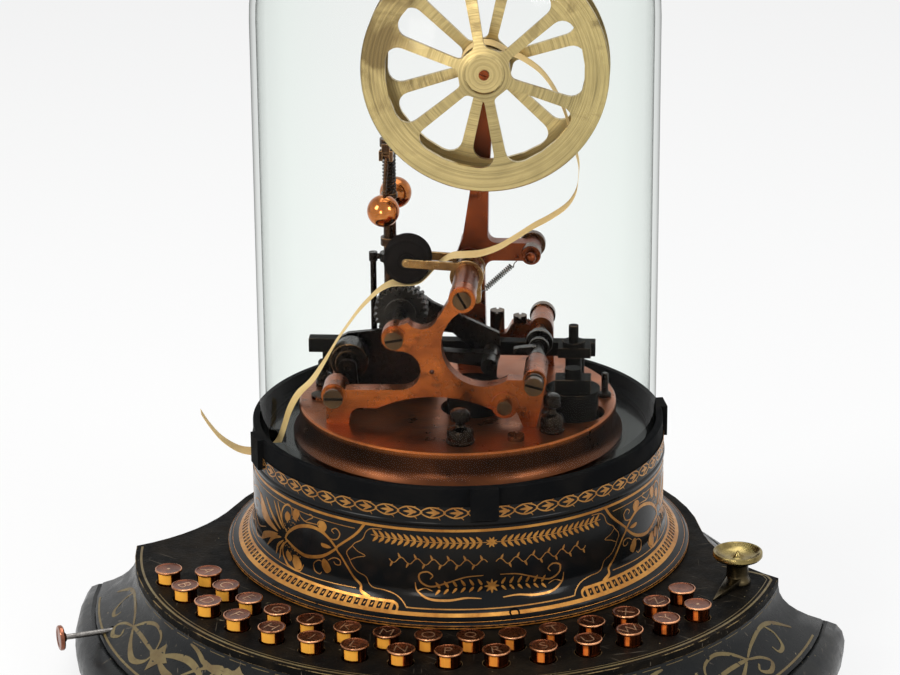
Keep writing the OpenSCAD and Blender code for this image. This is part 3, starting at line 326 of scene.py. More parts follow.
def paper_finish(name):
    """Cream tape, a little yellowed, with fine fibres."""
    r = Recipe(name)
    fibre = r.noise(r.mapped(), 900.0, 5.0, 0.7, 0.5)
    age = r.noise(r.mapped(), 40.0, 3.0)
    colour = r.blend(r.span(age, 0.3, 0.7), (0.62, 0.41, 0.155), (0.78, 0.575, 0.27))
    colour = r.blend(r.span(fibre, 0.5, 0.8, 0.0, 0.35), colour, (0.46, 0.29, 0.10))
    return r.finish(Base_Color=colour, Roughness=r.span(fibre, 0.3, 0.7, 0.62, 0.8),
                    Normal=r.bump(fibre, 0.00003, 0.5), Specular_IOR_Level=0.3)


def rubber_finish(name, colour=(0.0055, 0.0042, 0.0036), rough=(0.42, 0.62)):
    """Black rubber with a little dust on it."""
    r = Recipe(name)
    dust = r.noise(r.mapped(), 300.0, 5.0, 0.7)
    base = r.blend(r.span(dust, 0.5, 0.75), colour, tuple(3.2 * c for c in colour))
    return r.finish(Base_Color=base, Roughness=r.span(dust, 0.3, 0.7, *rough),
                    Normal=r.bump(dust, 0.00004, 0.6), Specular_IOR_Level=0.02)


def wood_finish(name):
    """Dark plain board with a straight grain."""
    r = Recipe(name)
    grain = r.noise(r.mapped((18, 260, 260)), 1.0, 5.0, 0.6, 1.0)
    colour = r.blend(r.span(grain, 0.35, 0.68), (0.055, 0.026, 0.012), (0.17, 0.082, 0.036))
    return r.finish(Base_Color=colour, Roughness=r.span(grain, 0.3, 0.7, 0.5, 0.75),
                    Normal=r.bump(grain, 0.0002, 0.5))


def glass_finish(name, tint):
    """Clear blown glass: clear face on, greyer and brighter where the wall turns away."""
    r = Recipe(name)
    tree = r.tree
    tree.nodes.remove(r.shader)
    facing = r.node("ShaderNodeLayerWeight", Blend=0.5).outputs["Facing"]
    ripple = r.noise(r.mapped((1, 1, 0.4)), 9.0, 2.0, 0.5)
    turned = r.sum("ADD", facing, r.span(ripple, 0.3, 0.7, -0.03, 0.03))
    ramp = r.node("ShaderNodeValToRGB", Fac=turned)
    stops = ramp.color_ramp.elements
    stops[0].position, stops[0].color = 0.0, (*tint, 1)
    stops[1].position, stops[1].color = 1.0, (0.20, 0.22, 0.21, 1)
    for place, shade in ((0.45, 0.985), (0.70, 0.955), (0.84, 0.85), (0.93, 0.60)):
        stop = stops.new(place)
        stop.color = (shade * 0.985, shade, shade * 0.990, 1)
    clear = r.node("ShaderNodeBsdfTransparent", Color=ramp.outputs[0])
    mirror = r.node("ShaderNodeBsdfAnisotropic", Color=(1, 1, 1, 1), Roughness=0.03)
    fresnel = r.node("ShaderNodeFresnel", IOR=1.42).outputs[0]
    outside = r.sum("SUBTRACT", 1.0, r.node("ShaderNodeNewGeometry").outputs["Backfacing"])
    share = r.sum("MULTIPLY", r.sum("MULTIPLY", fresnel, outside), 0.14)
    mixed = r.node("ShaderNodeMixShader")
    r.join(share, mixed.inputs[0])
    r.join(clear.outputs[0], mixed.inputs[1])
    r.join(mirror.outputs[0], mixed.inputs[2])
    tree.links.new(mixed.outputs[0], r.out.inputs[0])
    return r.material


FINISH = {}


def make_finishes(s):
    """Fills FINISH with one material for each of the ticker's surfaces."""
    japan, gilt, old_gilt = tuple(s.japan), tuple(s.gilt), tuple(s.old_gilt)
    copper, brass, key_metal = tuple(s.copper), tuple(s.brass), tuple(s.key_metal)
    FINISH.update({
        "japan": japan_finish("japan_gloss", japan, (0.0085, 0.0074, 0.0060), (0.09, 0.22), gloss=0.10),
        "plate": japan_finish("japan_leathered", (0.0042, 0.0040, 0.0037), (0.013, 0.0100, 0.0068),
                              (0.30, 0.56), 620.0, 0.00034, (0.26, 0.18, 0.08), 0.9, 0.015),
        "base": japan_finish("japan_base", (0.0056, 0.0064, 0.0070), (0.0125, 0.0125, 0.0115),
                             (0.20, 0.42), 500.0, 0.00008, (0.30, 0.22, 0.12), 0.7, 0.13),
        "ring": japan_finish("black_iron_matte", (0.0052, 0.0055, 0.0060), (0.0088, 0.0084, 0.0080),
                             (0.46, 0.64), 700.0, 0.00010, (0.05, 0.052, 0.055), gloss=0.006),
        "board": wood_finish("board_wood"),
        "gilt": gilt_finish("gilt_bright", gilt, 0.15),
        "fine_gilt": gilt_finish("gilt_fine", (0.45, 0.225, 0.062), 0.10),
        "old_gilt": gilt_finish("gilt_old", old_gilt, 0.35, (0.42, 0.62), 0.35),
        "edge_gilt": gilt_finish("gilt_edge", (0.74, 0.31, 0.055), 0.75, (0.26, 0.5), 0.8),
        "black_enamel": japan_finish("black_enamel", (0.0034, 0.0031, 0.0027), (0.0075, 0.0062, 0.0048),
                                     (0.14, 0.30), 600.0, 0.00004, rubs=(0.12, 0.085, 0.055), gloss=0.01),
        # a dull black for the painted shade laid in the screws' slots
        "slot_black": japan_finish("slot_painted_shade", (0.0030, 0.0026, 0.0022), (0.008, 0.006, 0.004), (0.5, 0.7),
                                   gloss=0.02),
        "paper": paper_finish("tape_paper"),
        "glass": glass_finish("dome_glass", tuple(s.glass_tint)),
        "reel_brass": reel_finish("reel_brass", brass, (0.085, 0.052, 0.022)),
        "rubber": rubber_finish("roller_rubber"),
        # the keys' sides: lacquered copper with a painted highlight on their fronts
        "key_side": highlit_copper_finish("key_side", key_metal, (0.10, 0.028, 0.010), (1.0, 0.47, 0.062)),
    })
    for key, *recipe in (
            ("copper_frame", "copper_frame", copper, (0.21, 0.052, 0.014), (0.038, 0.012, 0.006),
             (0.20, 0.38), (40, 40, 700), 48.0, 0.8, (0.84, 0.36, 0.13)),
            # the bed plate's side band gets a painted shade, a darker band between two heights
            ("bed", "copper_bed", (0.50, 0.142, 0.035), (0.25, 0.068, 0.019), (0.042, 0.015, 0.008),
             (0.24, 0.42), (34, 900, 60), 24.0, 0.8, (0.62, 0.26, 0.10), 0.00006,
             (0.1150, 0.1312, (0.050, 0.019, 0.010))),
            ("red_bronze", "red_bronze", (0.30, 0.066, 0.018), (0.115, 0.027, 0.010),
             (0.022, 0.008, 0.005), (0.24, 0.42), (500, 500, 40), 40.0, 0.5, (0.62, 0.21, 0.075)),
            ("dark_bronze", "dark_bronze", (0.105, 0.050, 0.022), (0.046, 0.023, 0.012),
             (0.016, 0.010, 0.006), (0.22, 0.36), (300, 300, 300), 90.0, 0.0, (0.55, 0.30, 0.13)),
            ("works_black", "works_black", (0.026, 0.017, 0.011), (0.012, 0.009, 0.007),
             (0.005, 0.004, 0.003), (0.18, 0.34), (300, 300, 300), 90.0, 0.0, (0.26, 0.14, 0.06)),
            ("screw_brass", "screw_brass", (0.135, 0.074, 0.034), (0.060, 0.033, 0.016),
             (0.020, 0.011, 0.007), (0.14, 0.28), (700, 700, 700), 150.0, 0.0, (0.80, 0.44, 0.19)),
            ("spring_steel", "spring_steel", (0.34, 0.32, 0.30), (0.16, 0.15, 0.14), (0.045, 0.04, 0.035),
             (0.25, 0.4), (800, 800, 800), 200.0),
            ("contact_brass", "contact_brass", (0.60, 0.43, 0.18), (0.36, 0.24, 0.10), (0.09, 0.055, 0.02),
             (0.28, 0.45), (200, 200, 200), 40.0),
            ("arm_brass", "arm_brass", (0.34, 0.185, 0.060), (0.16, 0.078, 0.028), (0.035, 0.018, 0.009),
             (0.20, 0.36), (60, 600, 600), 60.0, 0.4, (0.86, 0.58, 0.26)),
            ("dark_steel", "dark_steel", (0.036, 0.031, 0.026), (0.014, 0.012, 0.010),
             (0.005, 0.0045, 0.004), (0.20, 0.40), (400, 400, 400), 80.0, 0.3, (0.22, 0.19, 0.16)),
            ("ball_copper", "ball_copper", (0.66, 0.235, 0.062), (0.42, 0.130, 0.034),
             (0.11, 0.035, 0.014), (0.07, 0.17), (200, 200, 200), 120.0, 0.2, None, 0.00001),
            ("selector_brass", "selector_brass", (0.40, 0.31, 0.115), (0.20, 0.150, 0.058),
             (0.040, 0.031, 0.015), (0.16, 0.34), (260, 260, 260), 70.0, 0.3, (0.80, 0.70, 0.38)),
            ("selector_dark", "selector_dark", (0.080, 0.060, 0.030), (0.034, 0.027, 0.016),
             (0.012, 0.010, 0.007), (0.22, 0.40), (260, 260, 260), 70.0, 0.3, (0.30, 0.24, 0.12)),
            ("plunger", "plunger_copper", (0.40, 0.155, 0.090), (0.20, 0.070, 0.042),
             (0.050, 0.020, 0.013), (0.14, 0.30), (500, 500, 500), 160.0, 0.4, (0.85, 0.60, 0.48)),
            ("key_cap", "key_cap", (0.235, 0.072, 0.030), (0.115, 0.034, 0.016), (0.036, 0.013, 0.008),
             (0.20, 0.38), (420, 420, 420), 160.0, 0.5, (0.84, 0.40, 0.20)),
            ("engraving", "engraving", (0.74, 0.50, 0.32), (0.52, 0.32, 0.19), (0.26, 0.13, 0.07),
             (0.30, 0.45), (500, 500, 500), 260.0)):
        FINISH[key] = metal_finish(*recipe)


# ---- making and placing pieces ----
def finished(name, bm, finishes, body, stands_for=(), scale=MM, sharp=35.0, merge=0.0):
    """Turns a bmesh in millimetres into a piece that rides on a body."""
    if merge:
        bmesh.ops.remove_doubles(bm, verts=bm.verts, dist=merge)
    bmesh.ops.recalc_face_normals(bm, faces=bm.faces)
    for face in bm.faces:
        face.smooth = True
    for edge in bm.edges:
        edge.smooth = len(edge.link_faces) == 2 and edge.calc_face_angle(0.0) < radians(sharp)
    bmesh.ops.scale(bm, vec=(scale,) * 3, verts=bm.verts)
    mesh = bpy.data.meshes.new(name)
    bm.to_mesh(mesh)
    bm.free()
    return placed(name, mesh, finishes, body, stands_for)


def placed(name, mesh, finishes, body, stands_for=()):
    """Makes a mesh a piece with its finishes, the body that it rides on and the nodes that it stands for."""
    piece = bpy.data.objects.new(name, mesh)
    bpy.context.scene.collection.objects.link(piece)
    for key in [finishes] if isinstance(finishes, str) else finishes:
        mesh.materials.append(FINISH[key])
    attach(piece, body)
    if stands_for:
        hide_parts(*([stands_for] if isinstance(stands_for, str) else stands_for))
    return piece


def mark_wear(bm, faces):
    """Marks faces that handling has rubbed."""
    layer = bm.faces.layers.float.get("wear") or bm.faces.layers.float.new("wear")
    for face in faces:
        face[layer] = 1.0


def round_edges(bm, edges, offset):
    return bmesh.ops.bevel(bm, geom=edges, offset=offset, offset_type="OFFSET", segments=2, profile=0.5,
                           affect="EDGES", clamp_overlap=True, material=-1)["faces"]


def refined(node, finish, body, rounding=0.0, extra=None, sharp=32.0):
    """A CAD node's mesh, merged, its flat faces joined and its sharp edges rounded, standing for the node."""
    bm = bmesh.new()
    bm.from_mesh(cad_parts[node].data)
    bmesh.ops.scale(bm, vec=(1 / MM,) * 3, verts=bm.verts)
    bmesh.ops.remove_doubles(bm, verts=bm.verts, dist=0.002)
    bmesh.ops.dissolve_limit(bm, angle_limit=radians(0.6), verts=bm.verts, edges=bm.edges)
    bm.faces.layers.float.new("wear")
    if rounding:
        edges = [e for e in bm.edges if len(e.link_faces) == 2 and e.is_convex
                 and e.calc_face_angle(0.0) > radians(WORN_EDGE_DEG) and e.calc_length() > 0.12]
        mark_wear(bm, round_edges(bm, edges, rounding))
        bmesh.ops.remove_doubles(bm, verts=bm.verts, dist=0.002)
    if extra:
        extra(bm)
    piece = finished(node + "_finish", bm, finish, body, node, sharp=sharp)
    weighted = piece.modifiers.new("even_normals", "WEIGHTED_NORMAL")
    weighted.keep_sharp = True
    return piece


def painted(node, finish):
    """Gives a CAD node that stays as it is its finish."""
    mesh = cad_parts[node].data
    mesh.materials.clear()
    mesh.materials.append(FINISH[finish])


def mesh_of(data):
    """The mesh that a curve or a text makes."""
    spare = bpy.data.objects.new(data.name, data)
    mesh = bpy.data.meshes.new_from_object(spare)
    bpy.data.objects.remove(spare)
    return mesh


def settled(bm, before, place, material):
    """Gives the faces made since before their material, moves them to their place and returns them."""
    faces = [f for f in bm.faces if f not in before]
    for f in faces:
        f.material_index = material
    bmesh.ops.transform(bm, matrix=place, verts=list({v for f in faces for v in f.verts}))
    return faces


def lathe(bm, profile, place=Matrix(), steps=48, closed=False, material=0):
    """Spins a profile of (radius, height) round the local Z axis; the ends meet the axis or each other."""
    verts = [bm.verts.new((max(r, 0.0), 0, z)) for r, z in profile]
    edges = [bm.edges.new(pair) for pair in zip(verts, verts[1:])]
    if closed:
        edges.append(bm.edges.new((verts[-1], verts[0])))
    before = set(bm.faces)
    bmesh.ops.spin(bm, geom=verts + edges, cent=(0, 0, 0), axis=(0, 0, 1), angle=2 * pi, steps=steps,
                   use_merge=True)
    new = list({v for f in bm.faces if f not in before for v in f.verts})
    bmesh.ops.remove_doubles(bm, verts=new, dist=0.0005)
    return settled(bm, before, place, material)


def block(bm, size, place, rounding=0.3, material=0):
    """A rectangular block with rounded edges."""
    before = set(bm.faces)
    made = bmesh.ops.create_cube(bm, size=1.0)
    bmesh.ops.scale(bm, vec=size, verts=made["verts"])
    round_edges(bm, list({e for v in made["verts"] for e in v.link_edges}), rounding)
    return settled(bm, before, place, material)


def at_works(x, y, z, turn=Matrix()):
    """A place given in the works' own frame, with a turn."""
    return WORKS @ Matrix.Translation((x, y, z)) @ turn


def curve_through(points, per=6, closed=False):
    """Points of a smooth curve through the points given."""
    points = [Vector((*p, 0.0)) if len(p) == 2 else Vector(p) for p in points]
    n = len(points)
    out = []
    for i in range(n if closed else n - 1):
        a, b, c, d = (points[(i + k) % n] if closed else points[min(max(i + k, 0), n - 1)]
                      for k in (-1, 0, 1, 2))
        for s in range(per):
            t = s / per
            out.append(0.5 * ((2 * b) + (c - a) * t + (2 * a - 5 * b + 4 * c - d) * t * t
                              + (3 * b - a - 3 * c + d) * t ** 3))
    return out if closed else out + [points[-1]]


def swell(low, high):
    """A line's width from its ends to its middle."""
    return lambda t: low + (high - low) * sin(pi * t)


def new_verts(made):
    return [g for g in made["geom"] if isinstance(g, bmesh.types.BMVert)]


def key_of(v):
    return tuple(round(c, 5) for c in v.co)


def stroke(bm, path, width):
    """Lays a flat line along a path in the plane; width is one number, or a function from 0 to 1 along it."""
    n = len(path)
    verts, across = [], {}
    for i, p in enumerate(path):
        t = (path[min(i + 1, n - 1)] - path[max(i - 1, 0)]).normalized()
        w = width(i / (n - 1)) if callable(width) else width
        side = Vector((-t.y, t.x, 0)) * w / 2
        verts.append(bm.verts.new(p - side))
        across[key_of(verts[-1])] = 2 * side
    edges = [bm.edges.new(pair) for pair in zip(verts, verts[1:])]
    for v in new_verts(bmesh.ops.extrude_edge_only(bm, edges=edges)):
        v.co += across[key_of(v)]


def leaf(bm, x, y, heading, length, width, segments=8):
    """A flat pointed leaf from its stalk at (x, y) towards its tip."""
    made = bmesh.ops.create_circle(bm, cap_ends=True, segments=segments, radius=1.0)
    for v in made["verts"]:
        t = (v.co.x + 1) / 2
        v.co = Vector((t * length, v.co.y * width / 2 * (1.25 - t) ** 0.6, 0))
    bmesh.ops.transform(bm, verts=made["verts"], matrix=Matrix.Translation((x, y, 0))
                        @ Matrix.Rotation(radians(heading), 4, "Z"))


def raise_sheet(bm, lift):
    """Gives flat shapes in the plane a thickness, from just under it to lift above it."""
    for v in new_verts(bmesh.ops.extrude_face_region(bm, geom=list(bm.faces))):
        v.co.z += lift


# The drum's outside from its flange up, as (radius, height)
FLARE = [(FLANGE_R - 2.5 + (DRUM_R - FLANGE_R + 2.5) * (1 - (1 - i / 6) ** 1.7),
          PLATE_TOP + 3.4 + 11.6 * (i / 6) ** 1.3) for i in range(7)]
WALL = [(FLANGE_R, PLATE_TOP + 0.8), (FLANGE_R, PLATE_TOP + 2.2), (FLANGE_R - 1, PLATE_TOP + 3.2)] + FLARE + [
    (DRUM_R, DRUM_TOP)]


def wall_at(z):
    """Radius of the drum's outside at a height, and its outward direction as (radial, up)."""
    for (r0, z0), (r1, z1) in zip(WALL, WALL[1:]):
        if z <= z1:
            break
    t = (z - z0) / (z1 - z0)
    d = Vector((z1 - z0, r0 - r1)).normalized()
    return r0 + (r1 - r0) * t, d


def wrap_on_drum(bm):
    """Bends shapes laid out as (millimetres round the drum, height, lift) onto the drum's wall."""
    for v in bm.verts:
        r, d = wall_at(v.co.y)
        lift = v.co.z - 0.06
        a = v.co.x / DRUM_R + radians(PANEL_DEG)
        v.co = Vector((cos(a) * (r + d.x * lift), sin(a) * (r + d.x * lift), v.co.y + d.y * lift))


def gild(bm, name, finish, lift):
    """Raises flat shapes, bends them onto the drum and gives them their gilding."""
    raise_sheet(bm, lift)
    wrap_on_drum(bm)
    finished(name, bm, finish, "root")


def round_drum(degrees, z):
    return (radians(degrees) * DRUM_R, z)


def ring_line(bm, z, width, start=-180.0, end=180.0):
    """A painted line round the drum at one height."""
    n = int((end - start) / 1.5)
    stroke(bm, [Vector((*round_drum(start + (end - start) * i / n, z), 0)) for i in range(n + 1)], width)


# Each ribbon of the cove's scrolls: its width at the ends and in the middle, and its points
COVE_RIBBONS = (
    (0.7, 1.3, (180, 43.0), (188, 41.4), (192, 38.6), (186, 36.8), (181, 38.4), (183.6, 40.2)),
    (0.8, 1.7, (179, 43.2), (171, 47.6), (160, 50.6), (151.4, 48.4), (148.6, 42.6)),
    (0.8, 1.7, (178, 42.8), (168, 39.2), (157, 37.0), (149.6, 38.6), (148.2, 42.0)),
    (0.7, 1.5, (180, 43.2), (166, 43.4), (148, 42.2)),
    (0.8, 2.8, (143, 42.8), (133, 45.6), (122, 46.6), (112, 44.2), (104, 39.6)),
    (0.7, 2.2, (143, 41.6), (134, 39.8), (126, 39.0), (119, 36.8)),
    (0.8, 2.6, (126, 53.2), (120, 52.0), (112, 48.6), (100, 47.4), (90, 49.6)),
    (0.7, 2.0, (90, 48.8), (83, 45.0), (77.6, 41.0)),
    (0.7, 2.0, (180, 43.6), (190, 47.2), (203, 49.6), (215, 47.0), (226, 41.2)),
    (0.6, 1.3, (205, 49.2), (210, 44.4), (208, 40.0), (202, 39.2), (200.6, 41.6)))
COVE_KNOTS = ((144.0, 42.2, 6.4), (90.0, 49.2, 4.8))
COVE_REPEAT = 104.0


# ---- operators ----
class TickerOperator:
    """What the ticker's operators share."""
    bl_options = {"REGISTER"}

    @classmethod
    def poll(cls, context):
        return context.scene is not None


class TICKER_OT_stage(TickerOperator, bpy.types.Operator):
    """Sets up the camera, the pale floor, the lamps and the white surroundings"""
    bl_idname = "ticker.stage"
    bl_label = "Stage"

    def execute(self, context):
        scene = context.scene
        azimuth, elevation, distance = radians(8.29), radians(19.355), 1.54792
        target = Vector((-0.00349, -0.00051, 0.1633))
        back = Vector((sin(azimuth) * cos(elevation), -cos(azimuth) * cos(elevation), sin(elevation)))
        data = bpy.data.cameras.new("photo_camera")
        data.lens, data.sensor_width, data.clip_start, data.clip_end = 128.4, 36.0, 0.01, 30.0
        camera = bpy.data.objects.new("photo_camera", data)
        scene.collection.objects.link(camera)
        camera.matrix_world = (Matrix.Translation(target + back * distance)
                               @ (-back).to_track_quat("-Z", "Y").to_matrix().to_4x4()
                               @ Matrix.Rotation(radians(-0.42), 4, "Z"))
        scene.camera = camera
        for name, place, aim, size, power, tint in (
                ("left_softbox", (-1.15, -0.95, 1.15), (0, 0, 0.16), 0.60, 17.0, (1, 0.985, 0.96)),
                ("right_softbox", (1.25, -0.75, 0.95), (0, 0, 0.16), 0.45, 8.0, (0.97, 0.985, 1)),
                ("top_softbox", (0.1, 0.35, 1.7), (0, 0, 0.1), 1.1, 12.0, (1, 1, 1)),
                ("front_strip", (-0.25, -1.5, 0.42), (0, 0, 0.10), 0.36, 5.0, (1, 0.95, 0.88))):
            lamp = bpy.data.lights.new(name, "AREA")
            lamp.shape, lamp.size, lamp.size_y = "RECTANGLE", size, size * 1.2
            lamp.energy, lamp.color = power, tint
            box = bpy.data.objects.new(name, lamp)
            scene.collection.objects.link(box)
            box.matrix_world = Matrix.Translation(place) @ (
                Vector(aim) - Vector(place)).to_track_quat("-Z", "Y").to_matrix().to_4x4()
        world = bpy.data.worlds.new("white_surround")
        world.use_nodes = True
        tree = world.node_tree
        tree.nodes.clear()
        rays = self.seen_directly(tree)
        light, seen = tree.nodes.new("ShaderNodeBackground"), tree.nodes.new("ShaderNodeBackground")
        light.inputs[0].default_value, light.inputs[1].default_value = (0.97, 0.985, 1.0, 1), 0.42
        seen.inputs[0].default_value, seen.inputs[1].default_value = (1, 1, 1, 1), 1.0
        mixed, out = tree.nodes.new("ShaderNodeMixShader"), tree.nodes.new("ShaderNodeOutputWorld")
        for a, b in ((rays, mixed.inputs[0]), (light.outputs[0], mixed.inputs[1]),
                     (seen.outputs[0], mixed.inputs[2]), (mixed.outputs[0], out.inputs[0])):
            tree.links.new(a, b)
        scene.world = world
        bm = bmesh.new()
        bmesh.ops.create_grid(bm, x_segments=8, y_segments=8, size=4.0)
        mesh = bpy.data.meshes.new("floor")
        bm.to_mesh(mesh)
        bm.free()
        floor = bpy.data.objects.new("floor", mesh)
        scene.collection.objects.link(floor)
        mesh.materials.append(self.floor_finish())
        scene.view_settings.view_transform = "Standard"
        return {"FINISHED"}

    def seen_directly(self, tree):
        """1 for what the camera sees, also in a mirror and through glass."""
        path = tree.nodes.new("ShaderNodeLightPath")
        value = path.outputs["Is Camera Ray"]
        for name in ("Is Glossy Ray", "Is Transmission Ray"):
            most = tree.nodes.new("ShaderNodeMath")
            most.operation = "MAXIMUM"
            tree.links.new(value, most.inputs[0])
            tree.links.new(path.outputs[name], most.inputs[1])
            value = most.outputs[0]
        return value

    def floor_finish(self):
        material = bpy.data.materials.new("pale_floor")
        material.use_nodes = True
        tree = material.node_tree
        tree.nodes.clear()
        matte, glow = tree.nodes.new("ShaderNodeBsdfDiffuse"), tree.nodes.new("ShaderNodeEmission")
        matte.inputs[0].default_value = (0.86, 0.86, 0.86, 1)
        glow.inputs[0].default_value, glow.inputs[1].default_value = (1, 1, 1, 1), 1.0
        share = tree.nodes.new("ShaderNodeMath")
        share.operation = "MULTIPLY"
        share.inputs[1].default_value = 0.72
        mixed, out = tree.nodes.new("ShaderNodeMixShader"), tree.nodes.new("ShaderNodeOutputMaterial")
        tree.links.new(self.seen_directly(tree), share.inputs[0])
        for a, b in ((share.outputs[0], mixed.inputs[0]), (matte.outputs[0], mixed.inputs[1]),
                     (glow.outputs[0], mixed.inputs[2]), (mixed.outputs[0], out.inputs[0])):
            tree.links.new(a, b)
        return material


class TICKER_OT_base(TickerOperator, bpy.types.Operator):
    """Dresses the keyboard base: the japanned casting, its plate, its board and the old gilding"""
    bl_idname = "ticker.base"
    bl_label = "Keyboard base"

    def execute(self, context):
        settings = context.scene.ticker_settings
        refined("base_skirt", "base", "root", 0.0, sharp=40.0)
        refined("keyboard_plate", "plate", "root", 0.45)
        painted("bottom_board", "board")
        self.pinstripes(settings.pinstripe / MM)
        self.cove_scrolls()
        return {"FINISHED"}

    def front_arc(self, radius, start, end, steps=120):
        turns = [radians(start + (end - start) * i / steps) for i in range(steps + 1)]
        return [FRONT_CENTRE + Vector((radius * cos(a), radius * sin(a), 0)) for a in turns]

    def pinstripes(self, width):
        """Two lines inside the plate's front edge, which turn in at the corners."""
        bm = bmesh.new()
        for inset, w, start in ((3.0, width, -172.0), (5.1, width * 0.34, -150.0)):
            path = self.front_arc(FRONT_R - inset, start, -CORNER_DEG - 1.2)
            turn = self.front_arc(FRONT_R - inset - 7, 1.0 - CORNER_DEG, 1.0 - CORNER_DEG, 1)[0]
            path += curve_through([path[-1], (path[-1] + turn) / 2 + Vector((0.9, 0.9, 0)), turn,
                                   turn + Vector((-16, 6.5, 0))], 5)[1:]
            stroke(bm, path, w)
        raise_sheet(bm, 0.10)
        bmesh.ops.translate(bm, vec=(0, 0, PLATE_TOP - 0.05), verts=bm.verts)
        finished("plate_pinstripes", bm, "old_gilt", "root")

    def on_cove(self, bm):
        """Bends shapes laid out as (millimetres round the front, height, lift) onto the cove."""
        for v in bm.verts:
            t = min(max((COVE_TOP - v.co.y) / (COVE_TOP - FOOT_TOP - 1), 0.0), 1.0)
            slope = Vector((COVE_TOP - FOOT_TOP - 1, 2 * COVE_OUT * t)).normalized()
            r = FRONT_R + COVE_OUT * t * t + slope.x * (v.co.z - 0.05)
            a = radians(-90) + v.co.x / (FRONT_R + 8)
            v.co = FRONT_CENTRE + Vector((r * cos(a), r * sin(a), v.co.y + slope.y * (v.co.z - 0.05)))

    def cove_scrolls(self):
        """Ribbons tied in bows with square knots, and long curved leaves, painted along the cove."""
        bm = bmesh.new()
        for side, shift in ((side, shift) for side in (-1, 1) for shift in (0.0, -COVE_REPEAT)):
            for low, high, *points in COVE_RIBBONS:
                path = curve_through([(side * (x + shift), z) for x, z in points], 7)
                stroke(bm, path, swell(low, high))
            for x, z, size in COVE_KNOTS:
                made = bmesh.ops.create_circle(bm, cap_ends=True, segments=8, radius=size)["verts"]
                for v in made[1::2]:
                    v.co *= 0.52
                bmesh.ops.transform(bm, verts=made, matrix=Matrix.Translation((side * (x + shift), z, 0))
                                    @ Matrix.Diagonal((1.35, 0.82, 1, 1)))
        span = radians(90 - CORNER_DEG - 2) * (FRONT_R + 8)
        for z, w in ((FOOT_TOP + 1.6, 0.55), (COVE_TOP - 1.4, 0.35)):
            stroke(bm, [Vector((-span + 2 * span * i / 150, z, 0)) for i in range(151)], w)
        bmesh.ops.delete(bm, geom=[v for v in bm.verts if abs(v.co.x) > span], context="VERTS")
        raise_sheet(bm, 0.12)
        self.on_cove(bm)
        finished("cove_scrolls", bm, "old_gilt", "root")


